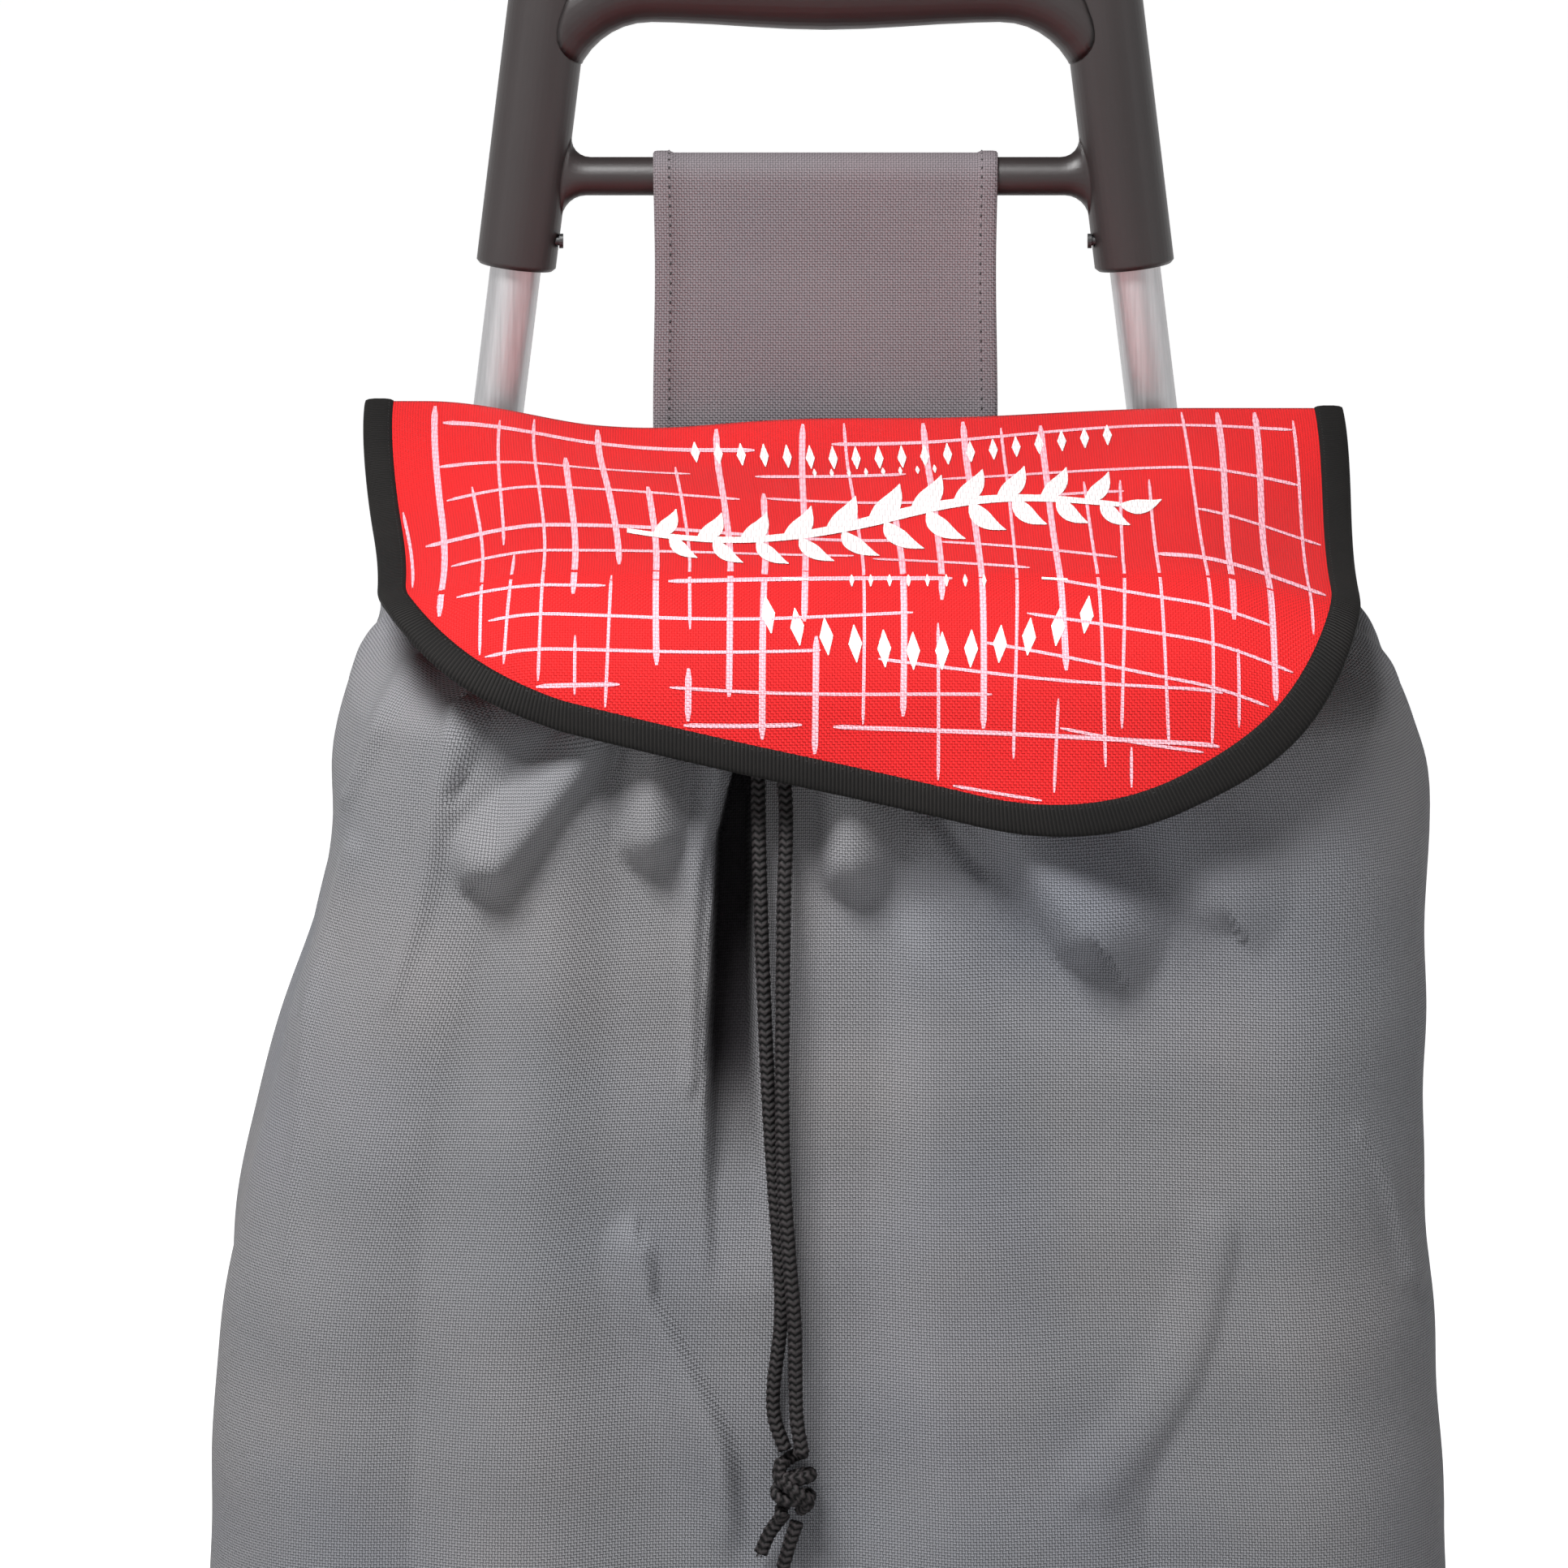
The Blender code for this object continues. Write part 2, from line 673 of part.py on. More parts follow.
def bag_half_width(z):
    narrowing = smooth((z - 0.42) / 0.32)
    widening = smooth((z - BAG_FLOOR) / 0.12)
    low = between(BAG_FLOOR_HALF_WIDTH, BAG_HALF_WIDTH, widening)
    return between(low, BAG_TOP_HALF_WIDTH, narrowing)


def bag_middle(z):
    """The bag sags to the right above this height, so its middle moves that way."""
    return BAG_SWAY * smooth((z - 0.50) / 0.15)


def bag_front(z):
    """How far forward the front panel reaches: most in the middle of its height."""
    share = (z - BAG_FLOOR) / (BAG_FRONT_TOP - BAG_FLOOR)
    return -0.150 - 0.006 * math.sin(math.pi * min(max(share, 0), 1))


def arc(centre_x, centre_y, radius, start, end, count):
    return [
        (centre_x + radius * math.cos(angle), centre_y + radius * math.sin(angle))
        for angle in spread(math.radians(start), math.radians(end), count)
    ]


def front_outline(z):
    """Outer line of the front panel at this height, left to right, with half of each front corner."""
    width, front = bag_half_width(z), bag_front(z)
    reach = width - FRONT_CORNER
    left = arc(-reach, front + FRONT_CORNER, FRONT_CORNER, 225 + SEAM, 270, 7)
    right = arc(reach, front + FRONT_CORNER, FRONT_CORNER, 270, 315 - SEAM, 7)
    return [(x + bag_middle(z), y) for x, y in left + [(0, front)] + right]


def side_outline(z, side):
    """Outer line of a side panel, from its front corner to the back one."""
    width, front = bag_half_width(z), bag_front(z)
    line = arc(width - FRONT_CORNER, front + FRONT_CORNER, FRONT_CORNER, 315 + SEAM, 360, 7)
    line += [(width, between(front + FRONT_CORNER, BAG_BACK - BACK_CORNER, share)) for share in (0.33, 0.67)]
    line += arc(width - BACK_CORNER, BAG_BACK + CLOTH - BACK_CORNER, BACK_CORNER, 0, 85, 4)
    return [(side * x + bag_middle(z), y) for x, y in line]


def flap_profile(run):
    """(y, z) on the flap's middle line, this far along it from the hinge."""
    top = min(run, FLAP_TOP_RUN)
    y = HINGE_Y - top * math.cos(FLAP_SLOPE)
    z = HINGE_Z - top * math.sin(FLAP_SLOPE)
    turn = min(max(run - FLAP_TOP_RUN, 0) / SHOULDER_RADIUS, HANG_ANGLE - FLAP_SLOPE)
    y -= SHOULDER_RADIUS * (math.sin(FLAP_SLOPE + turn) - math.sin(FLAP_SLOPE))
    z -= SHOULDER_RADIUS * (math.cos(FLAP_SLOPE) - math.cos(FLAP_SLOPE + turn))
    hang = max(run - FLAP_TOP_RUN - SHOULDER_RADIUS * (HANG_ANGLE - FLAP_SLOPE), 0)
    return y - hang * math.cos(HANG_ANGLE), z - hang * math.sin(HANG_ANGLE)


def side_rim(y):
    """Top edge of a side panel: under the flap's slope, and level with the front panel in front."""
    along_slope = HINGE_Z - (HINGE_Y - y) * math.tan(FLAP_SLOPE) - 0.026
    return between(BAG_FRONT_TOP, along_slope, smooth((y + 0.130) / 0.060))


def upright_panel(name, outline, rim, material):
    """A wall of the bag: the outline at each height from the floor to its rim."""
    foot = BAG_FLOOR + CLOTH + GAP
    rows = []
    for share in spread(0, 1, 9):
        row = []
        for index, (_, y) in enumerate(outline(BAG_FRONT_TOP)):
            z = between(foot, rim(y), share)
            row.append((*outline(z)[index], z))
        rows.append(row)
    return sheet(name, rows, CLOTH, material, offset=-1)


def bag_walls(material):
    upright_panel("bag_front_panel", front_outline, lambda y: BAG_FRONT_TOP, material)
    upright_panel("bag_right_panel", lambda z: side_outline(z, 1), side_rim, material)
    upright_panel("bag_left_panel", lambda z: list(reversed(side_outline(z, -1))), side_rim, material)
    rows = []
    for share in spread(0, 1, 9):
        z = between(BAG_FLOOR + CLOTH + GAP, HINGE_Z - 0.012, share)
        reach = bag_half_width(z) - BACK_CORNER - 0.001
        rows.append([(x + bag_middle(z), BAG_BACK + CLOTH, z) for x in (reach, 0, -reach)])
    sheet("bag_back_panel", rows, CLOTH, material)


def bag_floor(cloth, board):
    loop = front_outline(BAG_FLOOR) + side_outline(BAG_FLOOR, 1) + list(reversed(side_outline(BAG_FLOOR, -1)))
    slab("bag_floor_panel", loop, BAG_FLOOR, BAG_FLOOR + CLOTH, cloth)
    inset = 1 - 0.006 / BAG_FLOOR_HALF_WIDTH
    middle = (bag_front(BAG_FLOOR) + BAG_BACK) / 2
    smaller = [(x * inset, middle + (y - middle) * 0.945) for x, y in loop]
    slab("bag_floor_board", smaller, BAG_FLOOR + CLOTH + GAP, BAG_FLOOR + CLOTH + 0.004, board)


def bag_collar(material):
    """The gathered cloth inside the rim. It closes in on the mouth that the drawcord pulls together."""
    top = BAG_FRONT_TOP
    loop = front_outline(top) + side_outline(top, 1) + list(reversed(side_outline(top, -1)))
    mouth_width, mouth_depth, middle = 0.095, 0.058, -0.030
    rows = []
    for share in (0, 0.12, 0.5, 1):
        row = []
        for x, y in loop:
            across = x - BAG_SWAY
            angle = math.atan2(y - middle, across)
            edge = Vector((BAG_SWAY + across * 0.955, middle + (y - middle) * 0.945, min(side_rim(y), 0.72) - 0.016))
            lip = Vector((BAG_SWAY + mouth_width * math.cos(angle), middle + mouth_depth * math.sin(angle), 0.0))
            lip.z = HINGE_Z - (HINGE_Y - lip.y) * math.tan(FLAP_SLOPE) - 0.014
            point = edge.lerp(lip, share)
            point.z = between(edge.z, lip.z, smooth(share * 1.6))
            row.append(point)
        rows.append(row)
    return sheet("bag_collar", rows, 0.002, material, closed=True)


# Flap

def flap_reach(across, inset=0.0):
    """How long the flap is at this distance from its middle line, with its rounded corners."""
    half = FLAP_HALF_WIDTH - inset
    radius = FLAP_CORNERS[-1 if across < 0 else 1] - inset
    into_corner = max(abs(across) - (half - radius), 0)
    rounding = radius - math.sqrt(max(radius ** 2 - into_corner ** 2, 0))
    return FLAP_LENGTH + FLAP_SKEW * across - inset - rounding


def drape(across, run):
    """Where a point of the flap lies: its sides droop a little past the bag's edges."""
    y, z = flap_profile(run)
    forward = smooth(run / FLAP_TOP_RUN)
    droop = 0.012 * smooth((abs(across) - 0.110) / 0.075) * smooth(run / 0.120)
    return Vector((FLAP_CENTRE + 0.003 * forward + across * (1 - FLAP_TAPER * forward), y, z - droop))


def flap_panel(material):
    inset = BINDING_WIDTH + 0.0006
    half = FLAP_HALF_WIDTH - inset
    columns = [half * math.sin(angle) for angle in spread(-math.pi / 2, math.pi / 2, 15)]
    rows = []
    for share in spread(0, 1, 13):
        rows.append([drape(across, between(0.004, flap_reach(across, inset), share)) for across in columns])
    return sheet("flap_panel", rows, FLAP_THICKNESS, material, offset=0)


def flap_edge(inset):
    """(across, run) points round the flap's free edge at this inset, from the left hinge end to the right one."""
    half = FLAP_HALF_WIDTH - inset
    line = []
    for side in (-1, 1):
        radius = FLAP_CORNERS[side] - inset
        corner = []
        for angle in spread(0, math.pi / 2, 9):
            across = side * (half - radius + radius * math.cos(angle))
            run = FLAP_LENGTH + FLAP_SKEW * across - inset - radius + radius * math.sin(angle)
            corner.append((across, run))
        straight = [(side * half, between(0.004, corner[0][1], share)) for share in spread(0, 0.9, 9)]
        bottom = []
        for share in (0.66, 0.33):
            across = side * (half - radius) * share
            bottom.append((across, FLAP_LENGTH + FLAP_SKEW * across - inset))
        half_line = straight + corner + bottom
        if side < 0:
            line += half_line + [(0, FLAP_LENGTH - inset)]
        else:
            line += list(reversed(half_line))
    return line


def flap_binding(material):
    rows = [[drape(*point) for point in flap_edge(inset)] for inset in (BINDING_WIDTH, 0)]
    return sheet("flap_binding", rows, BINDING_THICKNESS, material, offset=0)


# Drawcords

def smooth_route(corners, steps=3):
    """A curve through every corner, with this many points from one to the next."""
    corners = [Vector(corner) for corner in corners]
    padded = [corners[0], *corners, corners[-1]]
    route = []
    for first, second, third, fourth in zip(padded, padded[1:], padded[2:], padded[3:]):
        for step in range(steps):
            share = step / steps
            route.append(
                0.5 * (
                    2 * second
                    + (third - first) * share
                    + (2 * first - 5 * second + 4 * third - fourth) * share ** 2
                    + (3 * second - first - 3 * third + fourth) * share ** 3
                )
            )
    route.append(corners[-1])
    return route


def cord(name, route, material):
    curve = bpy.data.curves.new(name, "CURVE")
    curve.dimensions = "3D"
    curve.bevel_depth = CORD_RADIUS
    curve.bevel_resolution = 2
    curve.use_fill_caps = True
    spline = curve.splines.new("POLY")
    points = smooth_route(route)
    spline.points.add(len(points) - 1)
    for index, corner in enumerate(points):
        spline.points[index].co = (*corner, 1)
    return place(name, curve, material)


def drawcords(material):
    cord("left_drawcord", LEFT_CORD_ROUTE, material)
    cord("right_drawcord", RIGHT_CORD_ROUTE, material)
    cord("left_cord_tail", LEFT_TAIL_ROUTE, material)
    cord("right_cord_tail", RIGHT_TAIL_ROUTE, material)
    body = bmesh.new()
    bmesh.ops.create_uvsphere(body, u_segments=16, v_segments=10, radius=1)
    bmesh.ops.scale(body, vec=KNOT_SIZE, verts=body.verts)
    bmesh.ops.translate(body, vec=KNOT_CENTRE, verts=body.verts)
    mesh = bpy.data.meshes.new("drawcord_knot")
    body.to_mesh(mesh)
    body.free()
    settle(place("drawcord_knot", mesh, material))


def hang_on_joint(name, centre, pieces):
    """Parents the pieces to an empty on their joint's axis, and leaves them where they are."""
    axis = bpy.data.objects.new(name, None)
    axis.location = centre
    bpy.context.collection.objects.link(axis)
    bpy.context.view_layer.update()
    for piece in pieces:
        bpy.data.objects[piece].parent = axis
        bpy.data.objects[piece].matrix_parent_inverse = axis.matrix_world.inverted()


def build():
    for thing in list(bpy.data.objects):
        bpy.data.objects.remove(thing)

    handle_plastic = paint("handle_plastic", (0.022, 0.018, 0.018), 0.42)
    aluminium = paint("aluminium", (0.62, 0.62, 0.63), 0.30, 1.0)
    painted_steel = paint("painted_steel", (0.03, 0.03, 0.032), 0.40, 0.3)
    zinc_steel = paint("zinc_steel", (0.55, 0.55, 0.56), 0.32, 1.0)
    black_plastic = paint("black_plastic", (0.025, 0.025, 0.027), 0.45)
    wheel_plastic = paint("wheel_plastic", (0.16, 0.16, 0.17), 0.45)
    nylon = paint("nylon", (0.75, 0.74, 0.70), 0.40)
    rubber = paint("rubber", (0.02, 0.02, 0.02), 0.75)
    bag_cloth = paint("bag_cloth", (0.16, 0.165, 0.17), 0.85)
    strap_webbing = paint("strap_webbing", (0.18, 0.155, 0.165), 0.85)
    board = paint("board", (0.05, 0.05, 0.05), 0.60)
    flap_cloth = paint("flap_cloth", (0.80, 0.035, 0.035), 0.70)
    black_tape = paint("black_tape", (0.015, 0.015, 0.016), 0.80)
    black_cord = paint("black_cord", (0.012, 0.012, 0.013), 0.80)

    upright_tubes(aluminium)
    cross_bars(painted_steel)
    base_loop(painted_steel)
    front_stand(painted_steel, rubber)
    axle_brackets(black_plastic, zinc_steel)
    wheels(rubber, wheel_plastic, nylon, zinc_steel)
    handle_yoke(handle_plastic)
    handle_grip(handle_plastic)
    handle_screws(painted_steel)
    hanging_strap(strap_webbing)
    tube_tabs(black_tape)
    bag_walls(bag_cloth)
    bag_floor(bag_cloth, board)
    bag_collar(bag_cloth)
    flap_panel(flap_cloth)
    flap_binding(black_tape)
    drawcords(black_cord)

    hang_on_joint("flap_hinge", (0, HINGE_Y, HINGE_Z), ["flap_panel", "flap_binding"])
    for side in (-1, 1):
        name = side_name(side)
        pieces = [name + "_tyre", name + "_wheel_rim", name + "_wheel_bush"]
        hang_on_joint(name + "_wheel_axis", (side * 0.174, UPRIGHT_Y, WHEEL_RADIUS), pieces)


build()
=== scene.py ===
"""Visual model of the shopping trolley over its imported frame: cloth, print, cords, finishes and studio.

Metres, +Z up, the front of the bag towards -Y.
"""

import random
from math import copysign, cos, exp, pi, radians, sin, sqrt, tan

import bmesh
import bpy
import numpy as np
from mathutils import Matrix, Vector


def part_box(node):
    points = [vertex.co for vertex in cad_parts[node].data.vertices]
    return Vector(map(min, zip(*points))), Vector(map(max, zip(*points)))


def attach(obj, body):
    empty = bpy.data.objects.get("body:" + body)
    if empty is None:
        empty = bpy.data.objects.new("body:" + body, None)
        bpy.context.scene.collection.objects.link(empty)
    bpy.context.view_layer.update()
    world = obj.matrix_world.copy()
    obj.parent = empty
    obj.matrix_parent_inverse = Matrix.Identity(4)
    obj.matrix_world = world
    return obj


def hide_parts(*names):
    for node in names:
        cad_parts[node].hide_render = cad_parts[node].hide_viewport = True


# The frame's dimensions that the cloth follows, as part.py has them
HINGE_Y = 0.075
HINGE_Z = 0.764
FLAP_SLOPE = radians(8)
FLAP_TOP_RUN = 0.2075
SHOULDER_RADIUS = 0.045
HANG_ANGLE = radians(83)
FLAP_LENGTH = 0.2964
FLAP_SKEW = 0.213
FLAP_CENTRE = 0.010
FLAP_HALF_WIDTH = 0.172
FLAP_TAPER = 0.065
FLAP_CORNERS = {-1: 0.070, 1: 0.135}  # radius of the left and the right corner
BINDING_WIDTH = 0.0105
BINDING_THICKNESS = 0.0036
CROSSBAR_Y = 0.095
CROSSBAR_Z = 0.843
STRAP_TURN = 0.0078  # from the crossbar's axis to the middle of the strap's thickness
BAG_SWAY = 0.0175
FRONT_CORNER = 0.055
BACK_CORNER = 0.015

# Cloth
BAG_CLOTH = 0.0007
FLAP_CLOTH = 0.0016
FLAP_START = 0.004  # from the hinge's axis to the cloth's sewn edge
TAPE_SIDES = 14
STRAP_HALF_WIDTH = 0.0605
STRAP_CLOTH = 0.0013
HEM_WIDTH = 0.0072
HEM_RISE = 0.0007
INK = 0.00012  # how far the print lies above the cloth that it is on
DOWN_LINES_RISE = FLAP_CLOTH / 2 + INK
CROSS_LINES_RISE = FLAP_CLOTH / 2 + INK * 1.6
ORNAMENT_RISE = FLAP_CLOTH / 2 + INK * 2.6
BOLD_LINE = 0.0022
FINE_LINE = 0.0011

# Shape of the bag
FRONT_Y = -0.150
BELLY = 0.007
RIM_RISE = 0.008  # how far the cloth stands above the front panel of the frame
BACK_INSET = 0.0006
FRONT_STARTS = (-0.085, -0.115)  # y between which the sides hand over to the folds of the front
SHOULDER_DROP = 0.022
LIP_BELOW_FLAP = 0.0145
WALL_ROWS = 176
SHOULDER_ROWS = 38
MEASURED_ROW = 80  # the row along which the weave is measured round the bag
MOUTH_Y = -0.030
MOUTH_HALF_WIDTH = 0.092
MOUTH_HALF_DEPTH = 0.056
MOUTH_PLEATS = 23
MOUTH_PLEAT_HEIGHT = 0.0035
SIDE_SLACK = 0.0026
FINE_WRINKLES = 0.0007
CORDS_X = -0.0165  # between the two cords, where no fold pushes them off the cloth
CORDS_END_Z = 0.40
PLEAT_LIP = 0.16  # share of the deep pleat's width in which its left wall drops
PLEAT_RAMP = 0.34
PLEAT_SHADE_DEPTH = 0.022  # depth from which the painted shade in the pleat is darkest

# Outline of the bag in front view: (height, distance from the middle plane) down each side
LEFT_EDGE = [
    (0.1716, 0.19), (0.2, 0.199), (0.25, 0.2068), (0.33, 0.2082), (0.401, 0.2077), (0.438, 0.2064),
    (0.469, 0.2041), (0.502, 0.2), (0.536, 0.1917), (0.573, 0.1829), (0.614, 0.1703), (0.643, 0.163),
    (0.67, 0.1612), (0.697, 0.1545), (0.72, 0.147), (0.76, 0.145),
]
RIGHT_EDGE = [
    (0.1716, 0.19), (0.2, 0.199), (0.25, 0.2068), (0.33, 0.208), (0.401, 0.208), (0.421, 0.2075),
    (0.449, 0.205), (0.477, 0.2033), (0.514, 0.2006), (0.548, 0.1997), (0.609, 0.1992), (0.656, 0.1975),
    (0.68, 0.1906), (0.709, 0.18), (0.76, 0.172),
]

# Drawcords
CORD_RADIUS = 0.0024
CORD_SIDES = 16
CORD_STEP = 0.0004
PLAIT_ROWS = 4
PLAIT_PITCH = 0.0024
PLAIT_LEAN = 0.9
PLAIT_GAP = 0.24  # how deep the gaps between the plaits are, as a share of the radius
LEFT_CORD_ROUTE = [
    (-0.0212, -0.088, 0.731), (-0.0216, -0.099, 0.73), (-0.022, -0.113, 0.727), (-0.0224, -0.1265, 0.719),
    (-0.0226, -0.14, 0.7078), (-0.0228, -0.1525, 0.699), (-0.0229, -0.1552, 0.688), (-0.0229, -0.1562, 0.676),
    (-0.0228, -0.1585, 0.656), (-0.0222, -0.16, 0.632), (-0.0212, -0.161, 0.602), (-0.0196, -0.1618, 0.566),
    (-0.018, -0.1622, 0.54), (-0.0163, -0.1624, 0.516), (-0.0156, -0.1624, 0.493), (-0.018, -0.1624, 0.47),
    (-0.0176, -0.1626, 0.459), (-0.0142, -0.1632, 0.449),
]
RIGHT_CORD_ROUTE = [
    (-0.015, -0.088, 0.731), (-0.0154, -0.099, 0.73), (-0.0158, -0.113, 0.727), (-0.0162, -0.1265, 0.719),
    (-0.0164, -0.14, 0.7078), (-0.0163, -0.1525, 0.699), (-0.0159, -0.1554, 0.688), (-0.014, -0.1592, 0.661),
    (-0.0146, -0.1618, 0.634), (-0.015, -0.1638, 0.602), (-0.0152, -0.1656, 0.566), (-0.0146, -0.1668, 0.54),
    (-0.013, -0.1674, 0.516), (-0.0112, -0.1673, 0.493), (-0.0108, -0.1668, 0.47), (-0.0103, -0.1674, 0.459),
    (-0.0086, -0.168, 0.449),
]
LEFT_TAIL_ROUTE = [(-0.0158, -0.164, 0.426), (-0.0195, -0.1636, 0.4205), (-0.0223, -0.164, 0.414)]
RIGHT_TAIL_ROUTE = [(-0.0103, -0.166, 0.4252), (-0.0127, -0.166, 0.418), (-0.015, -0.1655, 0.4095)]
TAIL_YARNS = 22
YARN_RADIUS = 0.00022
YARN_SINK = 0.0008
YARN_LENGTHS = (0.0018, 0.0034)
KNOT_CENTRE = Vector((-0.0114, -0.165, 0.4374))
KNOT_SIZE = Vector((0.008, 0.0068, 0.0112))
KNOT_TURNS = 2.5
KNOT_STRAND = [
    (-0.004, -0.0005, 0.0085), (-0.0046, -0.004, 0.0035), (0.0005, -0.0058, -0.0008),
    (0.0046, -0.0038, -0.0048), (0.002, 0.0006, -0.0085),
]

# Camera and studio
VIEW_TARGET = Vector((-0.0146, 0, 0.642))
VIEW_DISTANCE = 2.6
VIEW_ELEVATION = radians(10)
VIEW_LENS = 173
VIEW_SENSOR = 36
VIEW_REACH = 200
FLOOR_REACH = 60
GLOW_AHEAD = 0.9  # the glow's ring has its middle this far in front of the trolley
GLOW_RADIUS = 1.65
GLOW_RISE = 2.0
GLOW_MOST = 0.95


# Small helpers

def between(low, high, share):
    return low + (high - low) * share


def smooth(share):
    """Eases from 0 to 1. It takes a number or an array."""
    share = np.clip(share, 0, 1)
    return share * share * (3 - 2 * share)


def ease(value, start, end):
    """0 up to the start, 1 from the end on. The end may lie below the start."""
    return smooth((value - start) / (end - start))


def hump(value, middle, width):
    """A rounded rise of height 1 about its middle."""
    return exp(-((value - middle) / width) ** 2)


def spread(low, high, count):
    return [between(low, high, step / (count - 1)) for step in range(count)]


def smooth_route(corners, steps=3):
    """A curve through every corner, in this many steps from one to the next."""
    corners = [Vector(corner) for corner in corners]
    padded = [corners[0], *corners, corners[-1]]
    route = []
    for a, b, c, d in zip(padded, padded[1:], padded[2:], padded[3:]):
        for step in range(steps):
            share = step / steps
            curve = 2 * b + (c - a) * share + (2 * a - 5 * b + 4 * c - d) * share ** 2
            route.append(0.5 * (curve + (3 * b - a - 3 * c + d) * share ** 3))
    route.append(corners[-1])
    return route


def distances(route):
    """How far along the route each of its points lies."""
    travelled = [0.0]
    for before, after in zip(route, route[1:]):
        travelled.append(travelled[-1] + (after - before).length)
    return travelled


def vectors_at(wanted, ends, values):
    """The vectors at the wanted distances, between values that belong to the ends."""
    axes = [np.interp(wanted, ends, [value[axis] for value in values]) for axis in range(3)]
    return [Vector(point) for point in zip(*axes)]


def resampled(route, step):
    """The route again, with a point about every step of its length."""
    ends = distances(route)
    count = max(int(ends[-1] / step), 2)
    return vectors_at(np.linspace(0, ends[-1], count + 1), ends, route)


def ahead_at(route, index):
    return (route[min(index + 1, len(route) - 1)] - route[max(index - 1, 0)]).normalized()


# Shader nodes

def plug(made, value, socket):
    if isinstance(value, bpy.types.NodeSocket):
        made.node_tree.links.new(value, socket)
    else:
        socket.default_value = value


def finish(made, name, value):
    """Sets one of the shader's own sockets, to a value or another node's output."""
    plug(made, value, made.node_tree.nodes["Principled BSDF"].inputs[name])


def add(made, kind, **inputs):
    """A new node with its inputs set, under their names with _ for a space."""
    node = made.node_tree.nodes.new("ShaderNode" + kind)
    for name, value in inputs.items():
        plug(made, value, node.inputs[name.replace("_", " ")])
    return node


def operate(made, kind, operation, *values):
    node = add(made, kind)
    node.operation = operation
    for value, socket in zip(values, node.inputs):
        plug(made, value, socket)
    return node.outputs[0]


def maths(made, operation, *values):
    return operate(made, "Math", operation, *values)


def weighted(made, value, factor, offset=0.0):
    return maths(made, "MULTIPLY_ADD", value, factor, offset)


def waves(made, value, pitch):
    """A sine from -1 to 1, one wave to each pitch."""
    return maths(made, "SINE", maths(made, "MULTIPLY", value, 2 * pi / pitch))


def scaled(made, point, scale):
    return operate(made, "VectorMath", "MULTIPLY", point, scale)


def split(made, point):
    return add(made, "SeparateXYZ", Vector=point).outputs


def cloth_point(made):
    """Metres along and across the cloth, and the share of painted shade in the deep pleat, as stored on the
    mesh.
    """
    node = add(made, "Attribute")
    node.attribute_name = "weave"
    return node.outputs["Vector"]


def object_point(made):
    return add(made, "TexCoord").outputs["Object"]


def noise(made, point, scale, detail=3.0, roughness=0.55):
    return add(made, "TexNoise", Vector=point, Scale=scale, Detail=detail, Roughness=roughness).outputs["Fac"]


def ramp(made, value, *stops):
    """A colour that runs between (position, colour) stops."""
    node = add(made, "ValToRGB", Fac=value)
    elements = node.color_ramp.elements
    while len(elements) < len(stops):
        elements.new(0.5)
    for element, (position, colour) in zip(elements, stops):
        element.position = position
        element.color = (*colour, 1)
    return node.outputs["Color"]


def layered(made, colour, *shades):
    """The colour multiplied by every shade."""
    for shade in shades:
        node = add(made, "Mix")
        node.data_type = "RGBA"
        node.blend_type = "MULTIPLY"
        plug(made, 1.0, node.inputs["Factor"])
        plug(made, colour, node.inputs[6])
        plug(made, shade, node.inputs[7])
        colour = node.outputs[2]
    return colour


def bump(made, height, strength, distance, rounding=0.0):
    """Relief from a height. Rounding hides the facets of a part and softens its edges."""
    node = add(made, "Bump", Height=height, Strength=strength, Distance=distance)
    if rounding:
        bevel = add(made, "Bevel", Radius=rounding)
        bevel.samples = 4
        plug(made, bevel.outputs["Normal"], node.inputs["Normal"])
    finish(made, "Normal", node.outputs["Normal"])


def lighter(colour, factor):
    return tuple(channel * factor for channel in colour)


# Materials

def material(name, colour, roughness, metallic=0.0, specular=0.5):
    made = bpy.data.materials.new(name)
    made.use_nodes = True
    finish(made, "Base Color", (*colour, 1))
    finish(made, "Roughness", roughness)
    finish(made, "Metallic", metallic)
    finish(made, "Specular IOR Level", specular)
    return made


def thread_height(made, point, pitch):
    """A basket weave: rounded threads pass over and under each other, from 0 to 1."""
    cells = scaled(made, point, (1 / pitch, 1 / pitch, 0))
    warp, weft = (maths(made, "ABSOLUTE", waves(made, axis, 2)) for axis in split(made, cells)[:2])
    over = add(made, "TexChecker", Vector=cells, Scale=1.0).outputs["Fac"]
    under = maths(made, "SUBTRACT", 1.0, over)
    return maths(made, "ADD", maths(made, "MULTIPLY", warp, under), maths(made, "MULTIPLY", weft, over))


